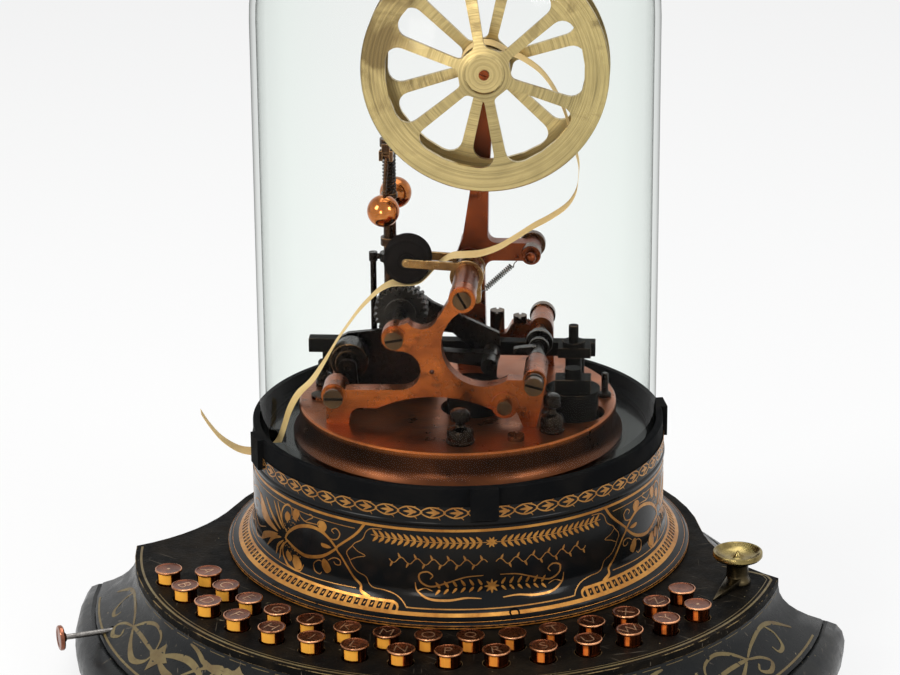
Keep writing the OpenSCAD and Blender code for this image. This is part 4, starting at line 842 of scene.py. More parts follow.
class TICKER_OT_drum(TickerOperator, bpy.types.Operator):
    """Dresses the drum and its ring, and lays the gilding on the drum"""
    bl_idname = "ticker.drum"
    bl_label = "Drum and ring"

    def execute(self, context):
        refined("pedestal_drum", "japan", "root", 0.0, sharp=30.0)
        refined("dome_ring", "ring", "root", 0.35)
        self.chain()
        self.borders()
        self.panels()
        self.flourish()
        bm = bmesh.new()
        spot = (Matrix.Rotation(radians(-68.0), 4, "Z")
                @ Matrix.Translation((FLANGE_R - 6.2, 0, PLATE_TOP + 4.6)))
        lathe(bm, [(0, 0.15), (1.3, 0.15), (1.7, 0.6), (2.4, 0.9), (2.6, 0.5), (2.6, -1.5), (0, -1.5)],
              spot @ Matrix.Rotation(radians(38), 4, "Y"), 28)
        finished("flange_screw", bm, "black_enamel", "root")
        bm = bmesh.new()
        lathe(bm, [(DRUM_R + out, z) for out, z in (
            (-0.3, 109.0), (0.12, 108.8), (0.5, 108.2), (0.58, 107.5), (0.42, 106.7), (0.08, 106.1),
            (-0.3, 105.9))], steps=160, closed=True)
        finished("drum_bead", bm, "japan", "root")
        return {"FINISHED"}

    def chain(self):
        """A chain of pointed ovals under the ring, each with a three-bladed leaf and two thorns."""
        bm = bmesh.new()
        links, z, high = 58, 113.15, 2.55
        pitch = 360.0 / links
        for i in range(links):
            middle = radians((i + 0.5) * pitch) * DRUM_R
            half = radians(pitch) * DRUM_R / 2 + 0.5
            for s in (-1, 1):
                path = [Vector((middle + half * (2 * t / 12 - 1), z + s * high * sin(pi * t / 12) ** 0.8, 0))
                        for t in range(13)]
                stroke(bm, path, swell(0.42, 0.72))
            leaf(bm, middle + 3.4, z, 180, 6.6, 1.7)
            for s in (-1, 1):
                leaf(bm, middle + 2.2, z, 180 - s * 32, 4.2, 1.15)
                path = curve_through([(middle + 1.6, z + s * 2.1), (middle + 2.9, z + s * 2.8),
                                      (middle + 3.4, z + s * 3.6)], 3)
                stroke(bm, path, lambda t: 0.5 * (1 - 0.7 * t))
        for v in bm.verts:
            v.co.y = min(v.co.y, DRUM_TOP - 0.1)
        gild(bm, "drum_chain", "fine_gilt", 0.13)

    def borders(self):
        """The lines round the drum, the ladder on its flare and the gilded edge of its flange."""
        bm = bmesh.new()
        ring_line(bm, 104.3, 1.25)
        ring_line(bm, 65.0, 1.15)
        start, end, bars = 24.6, 155.4, 62
        for middle in (0.0, 180.0):
            ring_line(bm, 68.5, 1.05, middle + start + 1.2, middle + end - 1.2)
            for s, at in ((1, middle + start), (-1, middle + end)):
                stroke(bm, curve_through([round_drum(at + s * a, z) for a, z in (
                    (1.2, 68.4), (0.25, 67.6), (-0.1, 66.4), (0.1, 65.1))], 4), 0.95)
            for i in range(bars):
                x, _ = round_drum(middle + start + 1.6 + (end - start - 3.2) * i / (bars - 1), 0)
                stroke(bm, [Vector((x - 0.2, 65.4, 0)), Vector((x + 0.2, 68.1, 0))], 1.5)
                if i < bars - 1:
                    leaf(bm, x + 1.35, 66.2, 52, 1.5, 0.7, 6)
        gild(bm, "drum_borders", "gilt", 0.14)
        bm = bmesh.new()
        for up, width in ((1.6, 1.6), (2.75, 1.2)):
            stroke(bm, [Vector((2 * pi * DRUM_R * i / 240, PLATE_TOP + up, 0)) for i in range(241)], width)
        gild(bm, "flange_gilding", "edge_gilt", 0.12)

    def panels(self):
        """The bracketed panel in front, the crossing bands and their scrolls; the back has the same."""
        wide, fine = bmesh.new(), bmesh.new()
        for middle in (0.0, 180.0):
            for s in (-1, 1):
                for bm, width, per, points in (
                        (wide, swell(1.35, 1.0), 5, (
                            (34.5, 104.0), (36.2, 99.9), (38.3, 96.3), (41.3, 92.1), (43.4, 88.5), (41.6, 84.6),
                            (39.7, 80.0), (37.8, 75.8), (35.8, 73.2), (35.3, 70.6), (32.6, 68.8))),
                        (wide, swell(1.0, 1.7), 5, (
                            (43.4, 88.5), (45.8, 92.4), (49.0, 95.1), (53.0, 95.3), (58.0, 92.4), (62.2, 87.2),
                            (63.8, 83.2))),
                        (wide, swell(1.0, 1.7), 5, (
                            (43.4, 88.5), (46.8, 84.0), (50.2, 81.2), (54.9, 79.4), (58.8, 80.4), (62.0, 82.2),
                            (63.8, 83.2))),
                        (fine, 0.42, 8, ((0.0, 66.9), (12.0, 66.9), (20.0, 66.9), (22.3, 67.0))),
                        (fine, 0.42, 5, (
                            (22.3, 67.0), (23.6, 69.2), (25.7, 71.4), (28.8, 72.6), (31.9, 73.0), (33.4, 74.6),
                            (34.3, 77.6), (36.9, 79.4), (38.4, 82.0), (39.3, 84.9), (40.1, 88.0), (38.4, 91.6),
                            (37.4, 93.6), (35.8, 95.3), (34.8, 97.2), (34.1, 100.1), (32.6, 102.2),
                            (29.5, 102.7))),
                        (fine, 0.35, 4, ((38.2, 91.8), (36.6, 89.6), (34.4, 88.1), (36.8, 86.6), (38.9, 84.6))),
                        (fine, 0.36, 16, ((37.4, 100.9), (55.0, 101.0), (75.0, 101.0), (90.0, 101.0))),
                        (fine, 0.36, 16, ((37.0, 71.4), (55.0, 70.5), (75.0, 70.4), (90.0, 70.4)))):
                    stroke(bm, curve_through([round_drum(middle + s * a, z) for a, z in points], per), width)
                self.side_scrolls(wide, fine, middle, s)
        gild(wide, "drum_bands", "gilt", 0.15)
        gild(fine, "drum_fine_lines", "fine_gilt", 0.12)

    def side_scrolls(self, wide, fine, middle, s):
        """Stippled wings, rays, a bellflower and tendrils round the loop of the crossing bands."""
        def put(a, z):
            return round_drum(middle + s * a, z)

        def line(bm, low, high, *points):
            stroke(bm, curve_through([put(*q) for q in points]), swell(low, high))

        def blob(*points):
            """A filled leaf or bulb with the outline given."""
            verts = [wide.verts.new(p) for p in curve_through([put(*q) for q in points], 4, closed=True)]
            edges = [wide.edges.new((a, b)) for a, b in zip(verts, verts[1:] + verts[:1])]
            bmesh.ops.triangle_fill(wide, edges=edges, use_beauty=True, normal=(0, 0, 1))

        line(wide, 0.5, 0.9, (62.6, 86.8), (64.7, 89.8), (65.4, 94.4), (64.2, 99.0), (61.9, 101.6),
             (60.3, 100.2), (60.2, 96.8))
        line(wide, 0.5, 0.9, (62.8, 82.6), (65.0, 78.6), (65.0, 74.4), (62.3, 71.4), (59.1, 70.6),
             (56.5, 71.0), (55.6, 74.3))
        blob((59.7, 96.0), (59.6, 99.4), (58.3, 101.4), (56.9, 100.2), (57.4, 97.4), (58.5, 95.0))
        blob((63.0, 92.6), (63.7, 95.0), (62.5, 97.8), (61.0, 96.4), (61.6, 93.8))
        blob((59.9, 76.6), (60.2, 73.2), (58.0, 70.9), (56.2, 72.6), (57.0, 75.6), (58.6, 77.4))
        blob((63.0, 77.4), (63.6, 74.8), (61.6, 72.8), (60.6, 74.6), (61.6, 76.8))
        line(fine, 0.3, 0.65, (57.1, 100.3), (56.3, 98.2), (54.5, 96.9), (52.3, 97.2), (50.1, 97.6))
        blob((47.8, 94.9), (49.9, 97.4), (49.2, 99.9), (47.4, 100.1), (46.6, 97.6))
        line(fine, 0.3, 0.5, (54.5, 97.2), (53.2, 98.6), (51.6, 100.4), (52.3, 101.5), (53.4, 100.9))
        line(fine, 0.3, 0.62, (47.6, 95.2), (45.6, 92.6), (43.2, 93.2), (42.2, 96.4), (43.5, 98.5),
             (44.9, 97.0), (44.1, 95.7))
        blob((48.0, 81.2), (48.6, 77.8), (47.1, 74.5), (45.4, 76.6), (46.4, 80.2))
        line(fine, 0.3, 0.6, (48.2, 79.6), (49.9, 79.6), (51.6, 77.0), (51.2, 74.0), (49.4, 73.0), (48.6, 74.2))
        line(fine, 0.3, 0.6, (46.4, 81.2), (44.3, 83.4), (42.4, 83.0), (42.3, 80.7), (43.7, 80.2), (44.4, 81.4))
        blob((48.6, 89.0), (46.6, 89.0), (45.2, 88.2), (46.6, 87.2), (48.4, 87.4))
        dots = 46
        for k in range(dots):
            t, wave = (k + 0.5) / dots, sin(k * 2.4)
            a, z = (57.0 + 7.0 * t, 94.2 - 6.0 * t * t + 2.6 * wave) if k % 2 else (
                57.0 + 7.2 * t, 77.4 + 4.2 * t * t + 2.2 * wave)
            made = bmesh.ops.create_circle(fine, cap_ends=True, segments=6, radius=0.36)
            bmesh.ops.translate(fine, vec=(*put(a, z), 0), verts=made["verts"])
        line(wide, 0.3, 1.5, (64.6, 87.6), (66.9, 91.8), (69.6, 99.4))
        line(wide, 0.3, 1.2, (64.2, 88.4), (65.9, 93.7), (67.4, 100.2))
        line(wide, 0.3, 1.9, (66.2, 86.4), (70.6, 90.6), (74.9, 97.5))
        line(wide, 0.3, 1.5, (64.8, 81.6), (68.0, 77.0), (68.6, 72.4))
        line(wide, 0.3, 1.2, (64.4, 81.0), (66.4, 76.1), (66.3, 71.6))
        line(wide, 0.3, 1.9, (66.0, 82.6), (70.8, 79.4), (74.6, 73.2))
        blob((67.6, 84.4), (72.6, 87.8), (77.0, 93.6), (80.2, 96.6), (79.6, 90.4), (78.4, 85.6), (73.0, 84.0))
        blob((67.8, 83.2), (72.8, 81.4), (78.2, 77.4), (79.4, 73.0), (75.6, 76.0), (71.0, 79.6))
        for sign in (-1, 1):
            line(fine, 0.35, 0.8, *((a, 84.6 + sign * up) for a, up in (
                (76.0, 3), (82.0, 6.5), (86.4, 4.6), (87.0, 1.8), (84.8, 1.4))))
            line(fine, 0.3, 0.6, *((a, 84.6 + sign * up) for a, up in ((79.0, 11), (84.0, 12.4), (90.0, 9.0))))

    def flourish(self):
        """Plain leafwork in the middle of the panel: a garland, a running vine and a pair of scrolls."""
        wide, fine = bmesh.new(), bmesh.new()
        for middle in (0.0, 180.0):
            at = radians(middle) * DRUM_R
            for s in (-1, 1):
                def p(*points, at=at, s=s, per=6):
                    return curve_through([(at + s * x, z) for x, z in points], per)

                for i in range(17):
                    t = (i + 0.5) / 17
                    for k in (-1, 1):
                        leaf(wide, at + s * (3.0 + 52.0 * t), 98.2 + 0.9 * t * t,
                             (0 if s > 0 else 180) + k * s * 48, 4.1, 1.7)
                stroke(fine, p((2.0, 98.2), (28, 98.4), (57, 99.3), per=14), 0.4)
                stroke(fine, p(*((2.0 + 46.0 * i / 60, 88.4 + 1.5 * sin(i * 0.63)) for i in range(61)), per=1),
                       0.42)
                for i in range(12):
                    up = -1 if i % 2 else 1
                    leaf(fine, at + s * (4.2 + 46.0 * i / 12), 88.4 + 0.9 * up, (90 - s * 24) * up, 3.0, 1.25)
                stroke(fine, p((4, 81.8), (12, 81.2), (20, 78.6), (28, 76.2), (33, 78.4), (33.6, 82.2),
                               (30, 83.6), (27.4, 81.8), (28.6, 80.0)), swell(0.35, 0.85))
                stroke(fine, p((5, 70.8), (12, 71.2), (20, 70.2), (29, 70.6), (34.6, 73.8), (35.6, 78.0)),
                       swell(0.35, 0.95))
                stroke(fine, p((34.6, 73.8), (31.0, 75.2), (27.5, 74.0)), lambda t: 0.6 * (1 - 0.6 * t))
                for i in range(6):
                    t = i / 5
                    for z, heading, long, width in ((76.9, 58, 3.9, 1.5), (76.3, -48, 3.4, 1.4)):
                        leaf(wide, at + s * (4.5 + 19.5 * t), z - 1.5 * t * t,
                             heading if s > 0 else 180 - heading, long, width)
            for k in range(8):
                leaf(wide, at, 76.3, 45 * k, 3.6, 1.5)
                leaf(wide, at, 98.2, 45 * k + 22.5, 2.8, 1.3)
        gild(wide, "panel_leaves", "gilt", 0.13)
        gild(fine, "panel_tendrils", "fine_gilt", 0.13)


class TICKER_OT_dome(TickerOperator, bpy.types.Operator):
    """Blows the glass dome"""
    bl_idname = "ticker.dome"
    bl_label = "Glass dome"

    def execute(self, context):
        low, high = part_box("glass_dome")
        bottom, top, r, inside = low[2] / MM, high[2] / MM, DOME_R, DOME_R - DOME_WALL
        spring, steps = top - DOME_R, 20

        def crown(radius):
            turns = [pi / 2 * i / steps for i in range(steps)]
            return [(radius * cos(a), spring + radius * sin(a)) for a in turns] + [(0.0, spring + radius)]

        side = [bottom + 0.9 + (spring - bottom - 0.9) * i / 10 for i in range(10)]
        bm = bmesh.new()
        lathe(bm, crown(inside)[::-1] + [(inside, z) for z in side[::-1]]
              + [(inside + 0.25, bottom + 0.3), (inside + 0.8, bottom), (r - 0.8, bottom),
                 (r - 0.25, bottom + 0.3)] + [(r, z) for z in side] + crown(r), steps=128)
        finished("glass_dome_blown", bm, "glass", "glass_dome", "glass_dome", sharp=80.0)
        return {"FINISHED"}


class TICKER_OT_frames(TickerOperator, bpy.types.Operator):
    """Dresses the bed plate, the two frames and the reel's post"""
    bl_idname = "ticker.frames"
    bl_label = "Bed and frames"

    def execute(self, context):
        rounding = context.scene.ticker_settings.edge_round / MM
        refined("bed_plate", "bed", "root", 0.0)
        refined("front_frame", "copper_frame", "root", rounding)
        refined("rear_frame", "copper_frame", "root", rounding)
        refined("reel_bracket", "red_bronze", "root", rounding * 0.8)
        self.arm_end()
        return {"FINISHED"}

    def arm_end(self):
        """The turned brass knob at the end of the bracket's arm, with its collar and its rear ring."""
        bm = bmesh.new()
        place = at_works(35.0, 10.0, 69.0, DEPTH)
        lathe(bm, [(0, -5.4), (0.9, -5.3), (1.6, -4.6), (1.9, -3.6), (2.5, -3.2), (2.6, -2.4), (2.0, -1.8),
                   (1.7, 0.0), (4.2, 0.0), (4.75, 0.4), (4.75, 6.6), (0, 6.6)], place, 40)
        lathe(bm, [(4.4, 16.6), (6.0, 16.6), (6.35, 17.0), (6.35, 20.9), (6.0, 21.3), (4.4, 21.3)],
              place, 48, closed=True)
        finished("arm_knob", bm, "dark_bronze", "root")


class TICKER_OT_works(TickerOperator, bpy.types.Operator):
    """Dresses the wheels, shafts, magnets, screws and posts of the printing works"""
    bl_idname = "ticker.works"
    bl_label = "Printing works"

    def execute(self, context):
        for node, finish, body, slot, rounding in (
                ("works_bracket", "works_black", "root", "dark_bronze", 0.25),
                ("electromagnets", "black_enamel", "root", "black_enamel", 0.25),
                ("frame_screws", "screw_brass", "root", "screw_brass", 0.25),
                ("type_wheel", "dark_steel", "type_wheel", "dark_steel", 0.12),
                ("feed_roller", "works_black", "feed_roller", "dark_bronze", 0.25),
                ("print_lever", "dark_steel", "print_lever", "dark_steel", 0.25),
                ("escapement_shaft", "dark_steel", "escapement_shaft", "dark_steel", 0.2),
                ("roller_arm", "arm_brass", "roller_arm", "arm_brass", 0.2)):
            refined(node, finish, body, rounding)
        self.posts()
        self.roller()
        self.slots()
        return {"FINISHED"}

    def slots(self):
        """Painted shade: dark blocks laid in the slots of the front frame's screws, where the slots lie in
        shade.
        """
        bm = bmesh.new()
        for (x, z), y, r, turn in (((-56, 14.5), -46.0, 4.7, 0), (TYPE, -44.5, 4.4, -10),
                                   (TIE, -42.2, 4.4, 60), (ESC, -49.5, 4.5, 15)):
            block(bm, (2 * r - 0.5, 1.0, 1.15),
                  at_works(x, y + 0.45, z, Matrix.Rotation(radians(turn), 4, "Y")), 0.08)
        finished("slot_painted_shade", bm, "slot_black", "root")

    def posts(self):
        """Turned binding posts with knurled heads, and the slim stud beside them."""
        bm = bmesh.new()
        knurls = 28
        for x, y, h, r in POSTS:
            place = at_works(x, y, 0)
            lathe(bm, [(0, 0), (r - 0.4, 0), (r, 0.5), (r, 1.3), (r * 0.93, 1.7), (r * 0.93, h * 0.34),
                       (r * 0.86, h * 0.42), (r * 0.62, h * 0.47), (r * 0.40, h * 0.50), (r * 0.33, h * 0.55),
                       (r * 0.34, h * 0.62), (r * 0.5, h * 0.655), (r * 0.66, h * 0.68), (0, h * 0.68)],
                  place, 36)
            faces = lathe(bm, [(0, h * 0.68), (r * 0.66, h * 0.68), (r * 0.70, h * 0.71), (r * 0.70, h * 0.90),
                               (r * 0.66, h * 0.93), (r * 0.50, h * 0.985), (r * 0.26, h), (0, h)],
                          place, 2 * knurls)
            axis = place.to_translation()
            rim = {v for f in faces for v in f.verts
                   if abs(hypot(v.co.x - axis.x, v.co.y - axis.y) - r * 0.70) < 0.05}
            for v in rim:
                a = atan2(v.co.y - axis.y, v.co.x - axis.x)
                k = 0.965 + 0.035 * cos(knurls * a)
                v.co.x, v.co.y = axis.x + (v.co.x - axis.x) * k, axis.y + (v.co.y - axis.y) * k
            lathe(bm, [(0, 0), (r * 0.24, 0), (r * 0.24, 0.25), (r * 0.14, 0.3), (r * 0.12, -0.6), (0, -0.6)],
                  place @ Matrix.Translation((r * 0.25, -r * 0.90, h * 0.22))
                  @ Matrix.Rotation(radians(90), 4, "X"), 20)
        lathe(bm, [(0, 0), (3.2, 0), (3.2, 1.6), (2.8, 2), (1.7, 2.2), (1.7, 11.4), (1.2, 12), (0, 12)],
              at_works(71.2, 4, 0), 28)
        finished("binding_posts_turned", bm, "works_black", "root", "binding_posts",
                 sharp=30.0)

    def roller(self):
        """The pressure roller: a flat black disc in front and a corded rubber sleeve behind it."""
        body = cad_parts["pressure_roller"]
        axis = sum((v.co for v in body.data.vertices), Vector()) / len(body.data.vertices) / MM
        r, width = ROLLER_R, ROLLER_WIDTH
        place = (Matrix.Translation(axis) @ Matrix.Rotation(radians(WORKS_TURN), 4, "Z") @ DEPTH
                 @ Matrix.Translation((0, 0, -width / 2)))
        bm = bmesh.new()
        lathe(bm, [(1.6, 0.2), (3.6, 0.2), (3.9, 0.5), (4.3, 0.5), (4.6, 0.1), (r - 2.4, 0.1),
                   (r - 2.1, 0.3), (r - 1.9, 0.1), (r - 0.8, 0.1), (r - 0.4, 0.5), (r - 0.4, 1.6),
                   (r - 1.6, 1.9), (r - 1.6, 2.3), (1.6, 2.3)], place, 72, closed=True)
        finished("pressure_roller_disc", bm, "rubber", "pressure_roller", "pressure_roller")
        bm = bmesh.new()
        cords = 7
        step = (width - 2.7) / cords
        ribs = [(r - depth, 2.3 + step * (i + at)) for i in range(cords)
                for depth, at in ((0.55, 0), (0.12, 0.25), (0, 0.5), (0.12, 0.75))]
        lathe(bm, [(1.6, 2.3)] + ribs + [(r - 0.5, width - 0.4), (r - 1.0, width - 0.1), (1.6, width - 0.1)],
              place, 72, closed=True)
        finished("pressure_roller_sleeve", bm, "rubber", "pressure_roller")


class TICKER_OT_reel(TickerOperator, bpy.types.Operator):
    """Dresses the brass reel"""
    bl_idname = "ticker.reel"
    bl_label = "Tape reel"

    def execute(self, context):
        refined("tape_reel", "reel_brass", "tape_reel", 0.25, sharp=30.0)
        return {"FINISHED"}


class TICKER_OT_tape(TickerOperator, bpy.types.Operator):
    """Lays the paper tape on the route that the construction model gives it"""
    bl_idname = "ticker.tape"
    bl_label = "Paper tape"

    def execute(self, context):
        piece, length = ribbon_of_tape()
        return {"FINISHED"}


def ribbon_of_tape():
    """The tape as a thin closed strip through the route's points; gives the piece and the tape's length."""
    y = TAPE_Y
    core = REEL_CORE_R + 0.9
    around = [(REEL[0] + core * cos(radians(a)), y, REEL[1] + core * sin(radians(a)))
              for a in range(200, 40, -20)]
    route = around + [(x, y, z) for x, z in (
        (24.5, 172), (31, 169), (39, 163.5), (44.4, 157), (48.6, 149.5), (52, 141), (56.4, 124.5), (58, 118),
        (58, 112), (56.8, 104), (52.6, 97), (44.6, 91), (36.6, 86.4), (28, 80.6), (20, 75.6), (11.4, 72.4),
        (4, 71.6), (-3, 70.8))]
    feed = [(-10, y, 66), (-14, y, 61.6), (-17.4, y, 58.6), (-21, y, 57.4), (-25.3, y, 57.1),
            (-31.6, y, 56.6), (-37.4, y, 53.4), (-43, y, 48), (-47.8, y, 42.6), (-52.4, y, 36.2),
            (-58.6, y, 27), (-64.2, 0, 17.6), (-70.4, -4, 8.6), (-76.6, -7.5, 3), (-81, -10, -4.6),
            (-84, -12, -14), (-87, -13.5, -21), (-92, -14.5, -24), (-99, -15.5, -24.4),
            (-106, -16.2, -22.8), (-113.6, -16.6, -17.6), (-119.4, -16.6, -10.6), (-123.4, -16.6, -4)]
    points = [Vector(p) for p in route + feed]
    turned_from = len(route) + 10
    n = len(points)
    across = []
    for i in range(n):
        d = (points[min(i + 1, n - 1)] - points[max(i - 1, 0)]).normalized()
        a = 0.0 if i < turned_from else radians(-14.0) * min(1.0, (i - turned_from) / 4)
        across.append(d.cross(Vector((sin(a), cos(a), 0))).cross(d).normalized())
    per = 4
    middle, wide = curve_through(points, per), curve_through(across, per)
    bm = bmesh.new()
    verts = [bm.verts.new(p - w.normalized() * TAPE_WIDTH / 2) for p, w in zip(middle, wide)]
    step = {key_of(v): w.normalized() for v, w in zip(verts, wide)}
    edges = [bm.edges.new(pair) for pair in zip(verts, verts[1:])]
    for v in new_verts(bmesh.ops.extrude_edge_only(bm, edges=edges)):
        v.co += step[key_of(v)] * TAPE_WIDTH
    bmesh.ops.recalc_face_normals(bm, faces=bm.faces)
    bmesh.ops.solidify(bm, geom=list(bm.faces), thickness=TAPE_THICK)
    bmesh.ops.transform(bm, matrix=WORKS, verts=bm.verts)
    length = sum((b - a).length for a, b in zip(middle, middle[1:])) * MM
    piece = finished("paper_tape_strip", bm, "paper", "root", "paper_tape", sharp=60.0)
    return piece, length


class TICKER_OT_governor(TickerOperator, bpy.types.Operator):
    """Dresses the governor's spindle and balls, and winds its coil spring"""
    bl_idname = "ticker.governor"
    bl_label = "Governor"

    def execute(self, context):
        refined("governor_spindle", "dark_bronze", "governor_spindle", 0.2)
        for side, centre in BALLS.items():
            def arms(bm, centre=WORKS @ Vector(centre)):
                for f in bm.faces:
                    f.material_index = int((f.calc_center_median() - centre).length > BALL_REACH)
            refined("governor_ball_" + side, ["ball_copper", "dark_bronze"], "governor_ball_" + side,
                    0.0, extra=arms, sharp=40.0)
        turns, low, high, r = 10.5, 97.6, 115.6, 3.0
        steps = int(turns * 16)
        shares = [i / steps for i in range(steps + 1)]
        coil = [Vector((GOVERNOR[0] + r * cos(2 * pi * turns * t), GOVERNOR[1] + r * sin(2 * pi * turns * t),
                        low + (high - low) * t)) for t in shares]
        wire("governor_spring", [WORKS @ p for p in coil], 0.42, "dark_steel", "governor_spindle")
        return {"FINISHED"}


def wire(name, points, radius, finish, body, stands_for=()):
    """A round wire through points, made a mesh."""
    data = bpy.data.curves.new(name + "_path", "CURVE")
    data.dimensions = "3D"
    data.bevel_depth, data.bevel_resolution, data.use_fill_caps = radius * MM, 2, True
    spline = data.splines.new("POLY")
    spline.points.add(len(points) - 1)
    for point, p in zip(spline.points, points):
        point.co = (*(p * MM), 1.0)
    mesh = mesh_of(data)
    bm = bmesh.new()
    bm.from_mesh(mesh)
    bpy.data.meshes.remove(mesh)
    return finished(name, bm, finish, body, stands_for, scale=1.0, merge=0.000001)


class TICKER_OT_spring(TickerOperator, bpy.types.Operator):
    """Winds the return spring between the bracket's pin and the roller arm's tail"""
    bl_idname = "ticker.spring"
    bl_label = "Return spring"

    def execute(self, context):
        a, b = Vector((28.0, 14.5, 64.7)), Vector((11.0, 8.8, 50.4))
        d = (b - a).normalized()
        u = d.cross(Vector((0, 1, 0))).normalized()
        v = d.cross(u)
        length, hook, curls, r = (b - a).length, 3.2, 15, 1.25
        steps = 16 * curls
        coil = [a + d * (hook + (length - 2 * hook) * i / steps)
                + r * (cos(2 * pi * curls * i / steps) * u + sin(2 * pi * curls * i / steps) * v)
                for i in range(steps + 1)]
        points = [a, a + d * 1.6, a + d * (hook - 0.6) + u * 0.7] + coil + [
            b - d * (hook - 0.6) + u * 0.7, b - d * 1.6, b]
        piece = wire("return_spring_wire", [WORKS @ p for p in points], 0.3, "spring_steel", "root",
                     "return_spring")
        piece.parent = None
        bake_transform(piece)
        return {"FINISHED"}


class TICKER_OT_keys(TickerOperator, bpy.types.Operator):
    """Turns the thirty keys and engraves their letters"""
    bl_idname = "ticker.keys"
    bl_label = "Keys"

    def execute(self, context):
        height = context.scene.ticker_settings.letter_height / MM
        for i in range(1, 31):
            self.key(i, height)
        return {"FINISHED"}

    def key(self, i, height):
        node = "key_%02d" % i
        low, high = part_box(node)
        x, y, top = (low[0] + high[0]) / 2 / MM, (low[1] + high[1]) / 2 / MM, high[2] / MM
        bottom = low[2] / MM
        place = Matrix.Translation((x, y, 0))
        bm = bmesh.new()
        bm.faces.layers.float.new("wear")
        # a face attribute for the highlight painted on the front of each key's side
        painted_highlight = bm.faces.layers.float.new("painted_highlight")
        side = lathe(bm, [(0, top - 9.0), (KEY_R, top - 9.0), (KEY_R, PLATE_TOP + 0.7), (5.62, top - 1.9),
                          (5.7, top - 1.5), (5.9, top - 1.25), (0, top - 1.25)], place, 60)
        # the painted highlight: side faces turned to the front, a little to the left, get it; it grows weaker
        # and narrower on keys further right
        fade = min(max((x + 25) / 105, 0.0), 1.0)
        for f in side:
            c = f.calc_center_median()
            if PLATE_TOP + 0.7 < c.z < top - 1.6:
                off = abs(atan2(c.x - x, -(c.y - y)) + radians(12 - 8 * fade))
                inside = (radians(41 - 23 * fade) - off) / 0.16
                f[painted_highlight] = (1.0 - 0.35 * fade) * min(max(inside, 0.0), 1.0)
        cap = lathe(bm, [(0, top - 1.25), (6.1, top - 1.25), (6.45, top - 1.0), (6.5, top - 0.6),
                         (6.35, top - 0.15), (6.0, top), (5.7, top - 0.05), (5.45, top - 0.22),
                         (5.1, top - 0.27), (0, top - 0.27)], place, 48, material=1)
        middles = [(f, f.calc_center_median()) for f in cap]
        mark_wear(bm, [f for f, c in middles if hypot(c.x - x, c.y - y) > 6.0 and c.z > top - 0.5])
        lathe(bm, [(0, bottom), (1.3, bottom), (1.6, bottom + 0.4), (1.6, top - 8), (0, top - 8)], place, 20)
        collar = PLATE_TOP - 4.3
        lathe(bm, [(r, collar + up) for r, up in (
            (1.5, -1.6), (6.3, -1.6), (6.6, -1.3), (6.6, -0.2), (6.3, 0), (3.0, 0), (3.0, 3.4), (1.5, 3.4))],
            place, 28, closed=True)
        turn = atan2(y, x) + pi / 2
        if i in LETTERS:
            self.engrave(bm, LETTERS[i], height, place @ Matrix.Translation((0, 0, top - 0.30))
                         @ Matrix.Rotation(turn, 4, "Z"))
        elif i in (1, 15):
            lathe(bm, [(0, 0), (0.8, 0), (0.7, 0.08), (0, 0.1)],
                  place @ Matrix.Translation((0, 0, top - 0.28)), 16, material=2)
        finished(node + "_turned", bm, ["key_side", "key_cap", "engraving"], node, node,
                 sharp=34.0)

    def engrave(self, bm, letter, height, place):
        """A letter in thin strokes, made a mesh before it is placed on its key."""
        data = bpy.data.curves.new("letter", "FONT")
        data.body, data.size, data.extrude, data.offset = letter, 1.0, 0.012, -0.022
        data.align_x, data.align_y, data.resolution_u = "CENTER", "CENTER", 3
        mesh = mesh_of(data)
        ys = [v.co.y for v in mesh.vertices]
        xs = [v.co.x for v in mesh.vertices]
        centre = Matrix.Translation((-(max(xs) + min(xs)) / 2, -(max(ys) + min(ys)) / 2, 0))
        size = height / (max(ys) - min(ys))
        mesh.transform(place @ Matrix.Scale(size, 4) @ centre)
        before = set(bm.faces)
        bm.from_mesh(mesh)
        bpy.data.meshes.remove(mesh)
        for f in bm.faces:
            if f not in before:
                f.material_index = 2


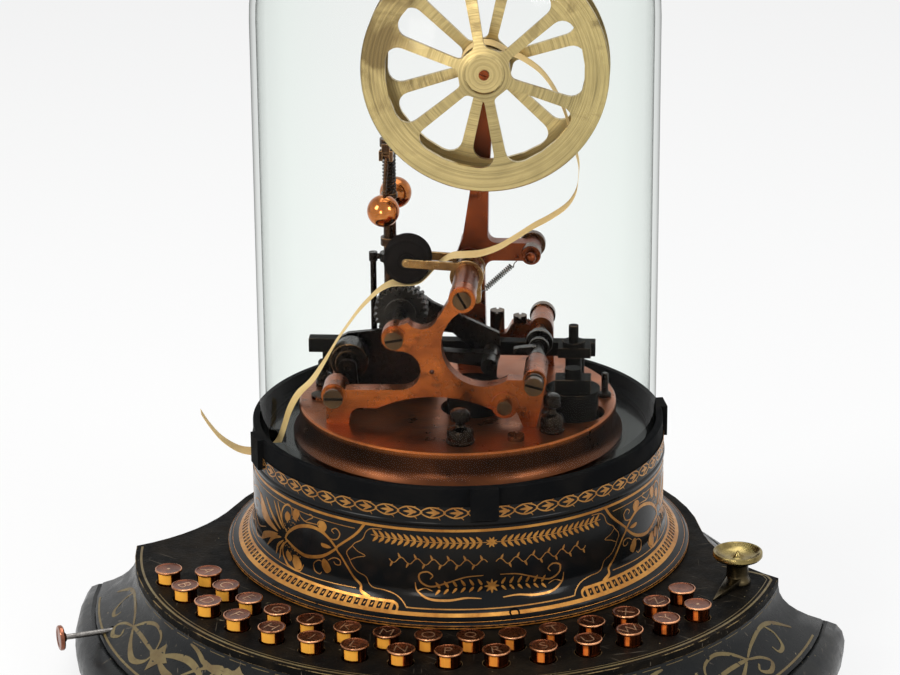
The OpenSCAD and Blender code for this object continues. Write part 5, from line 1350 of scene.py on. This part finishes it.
class TICKER_OT_controls(TickerOperator, bpy.types.Operator):
    """Turns the selector knob and the side plunger, and finishes the contacts inside the base"""
    bl_idname = "ticker.controls"
    bl_label = "Selector, plunger and contacts"

    def execute(self, context):
        self.selector()
        self.plunger()
        for node in ("contact_ring", "trailer_arm"):
            painted(node, "contact_brass")
        return {"FINISHED"}

    def selector(self):
        """The dish-topped knob, its foot and spindle, and its tapering pointer."""
        place = Matrix.Translation(SELECTOR_AT)
        bm = bmesh.new()
        r = SELECTOR_R
        lathe(bm, [(4.4, 11.0), (7.6, 11.6), (9.6, 12.3), (11.1, 13.0), (r, 14.0), (r, 15.6),
                   (r - 0.25, 16.1), (r - 0.8, 16.2), (r - 1.5, 15.8), (9.4, 14.6), (7.2, 13.5), (5.0, 12.9),
                   (3.2, 12.75), (2.0, 13.2), (1.1, 14.4), (0.5, 15.8), (0.2, 16.4), (0.0, 16.5),
                   (0.0, 11.0)], place, 64)
        lathe(bm, [(0, 0.4), (6.5, 0.4), (6.5, 1.2), (5.9, 2.2), (5.3, 3.6), (5.2, 5.0), (5.2, 9.4),
                   (5.6, 10.4), (6.6, 11.1), (0, 11.1)], place, 48, material=1)
        lathe(bm, [(0, -8), (5.0, -8), (5.0, -4.5), (2.5, -4.5), (2.5, 1.0), (0, 1.0)], place, 32, material=1)
        before = set(bm.faces)
        made = bmesh.ops.create_cube(bm, size=1.0)["verts"]
        for v in made:
            far = v.co.x > 0
            v.co = Vector((26.4 if far else 0.0, v.co.y * (0.5 if far else 8.8),
                           0.4 if v.co.z < 0 else (1.1 if far else 4.2)))
        round_edges(bm, list({e for v in made for e in v.link_edges}), 0.18)
        settled(bm, before, place @ Matrix.Rotation(radians(248.0), 4, "Z"), 1)
        finished("selector_knob_turned", bm, ["selector_brass", "selector_dark"], "selector_knob",
                 "selector_knob", sharp=34.0)

    def plunger(self):
        """The rod, its guide inside the skirt and its disc head."""
        bearing = radians(PLUNGER_DEG)
        place = (Matrix.Translation((PLUNGER_OUT * cos(bearing), PLUNGER_OUT * sin(bearing), PLUNGER_Z))
                 @ Matrix.Rotation(bearing, 4, "Z") @ Matrix.Rotation(radians(90), 4, "Y"))
        bm = bmesh.new()
        lathe(bm, [(0, -24), (1.1, -24), (1.35, -23.7), (1.35, 17.6), (0, 17.6)], place, 32, material=1)
        lathe(bm, [(0, 17.2), (1.9, 17.2), (2.1, 17.5), (2.7, 18.0), (5.6, 18.5),
                   (6.1, 19.1), (6.1, 20.3), (5.7, 20.8), (4.6, 20.9), (4.2, 20.6), (0, 20.6)], place, 48)
        lathe(bm, [(1.3, -21.8), (2.9, -21.8), (3.2, -21.5), (3.2, -20.1), (2.9, -19.8), (1.3, -19.8)],
              place, 32, closed=True)
        finished("side_plunger_turned", bm, ["plunger", "spring_steel"], "side_plunger",
                 "side_plunger")


class TICKER_PT_finish(bpy.types.Panel):
    """Lists the ticker's operators and the sizes and colours that they use"""
    bl_idname = "TICKER_PT_finish"
    bl_label = "Stock Ticker"
    bl_space_type = "VIEW_3D"
    bl_region_type = "UI"
    bl_category = "Ticker"

    def draw(self, context):
        settings = context.scene.ticker_settings
        for name in TickerSettings.__annotations__:
            self.layout.prop(settings, name)
        for operator in OPERATORS:
            self.layout.operator(operator.bl_idname)


OPERATORS = (TICKER_OT_stage, TICKER_OT_base, TICKER_OT_drum, TICKER_OT_dome, TICKER_OT_frames,
             TICKER_OT_works, TICKER_OT_reel, TICKER_OT_tape, TICKER_OT_governor, TICKER_OT_spring,
             TICKER_OT_keys, TICKER_OT_controls)
CLASSES = (TickerSettings, *OPERATORS, TICKER_PT_finish)


def register():
    for cls in CLASSES:
        bpy.utils.register_class(cls)
    bpy.types.Scene.ticker_settings = bpy.props.PointerProperty(type=TickerSettings)


def unregister():
    del bpy.types.Scene.ticker_settings
    for cls in reversed(CLASSES):
        bpy.utils.unregister_class(cls)


def main():
    register()
    make_finishes(bpy.context.scene.ticker_settings)
    for operator in OPERATORS:
        group, name = operator.bl_idname.split(".")
        getattr(getattr(bpy.ops, group), name)()


if __name__ == "__main__":
    main()
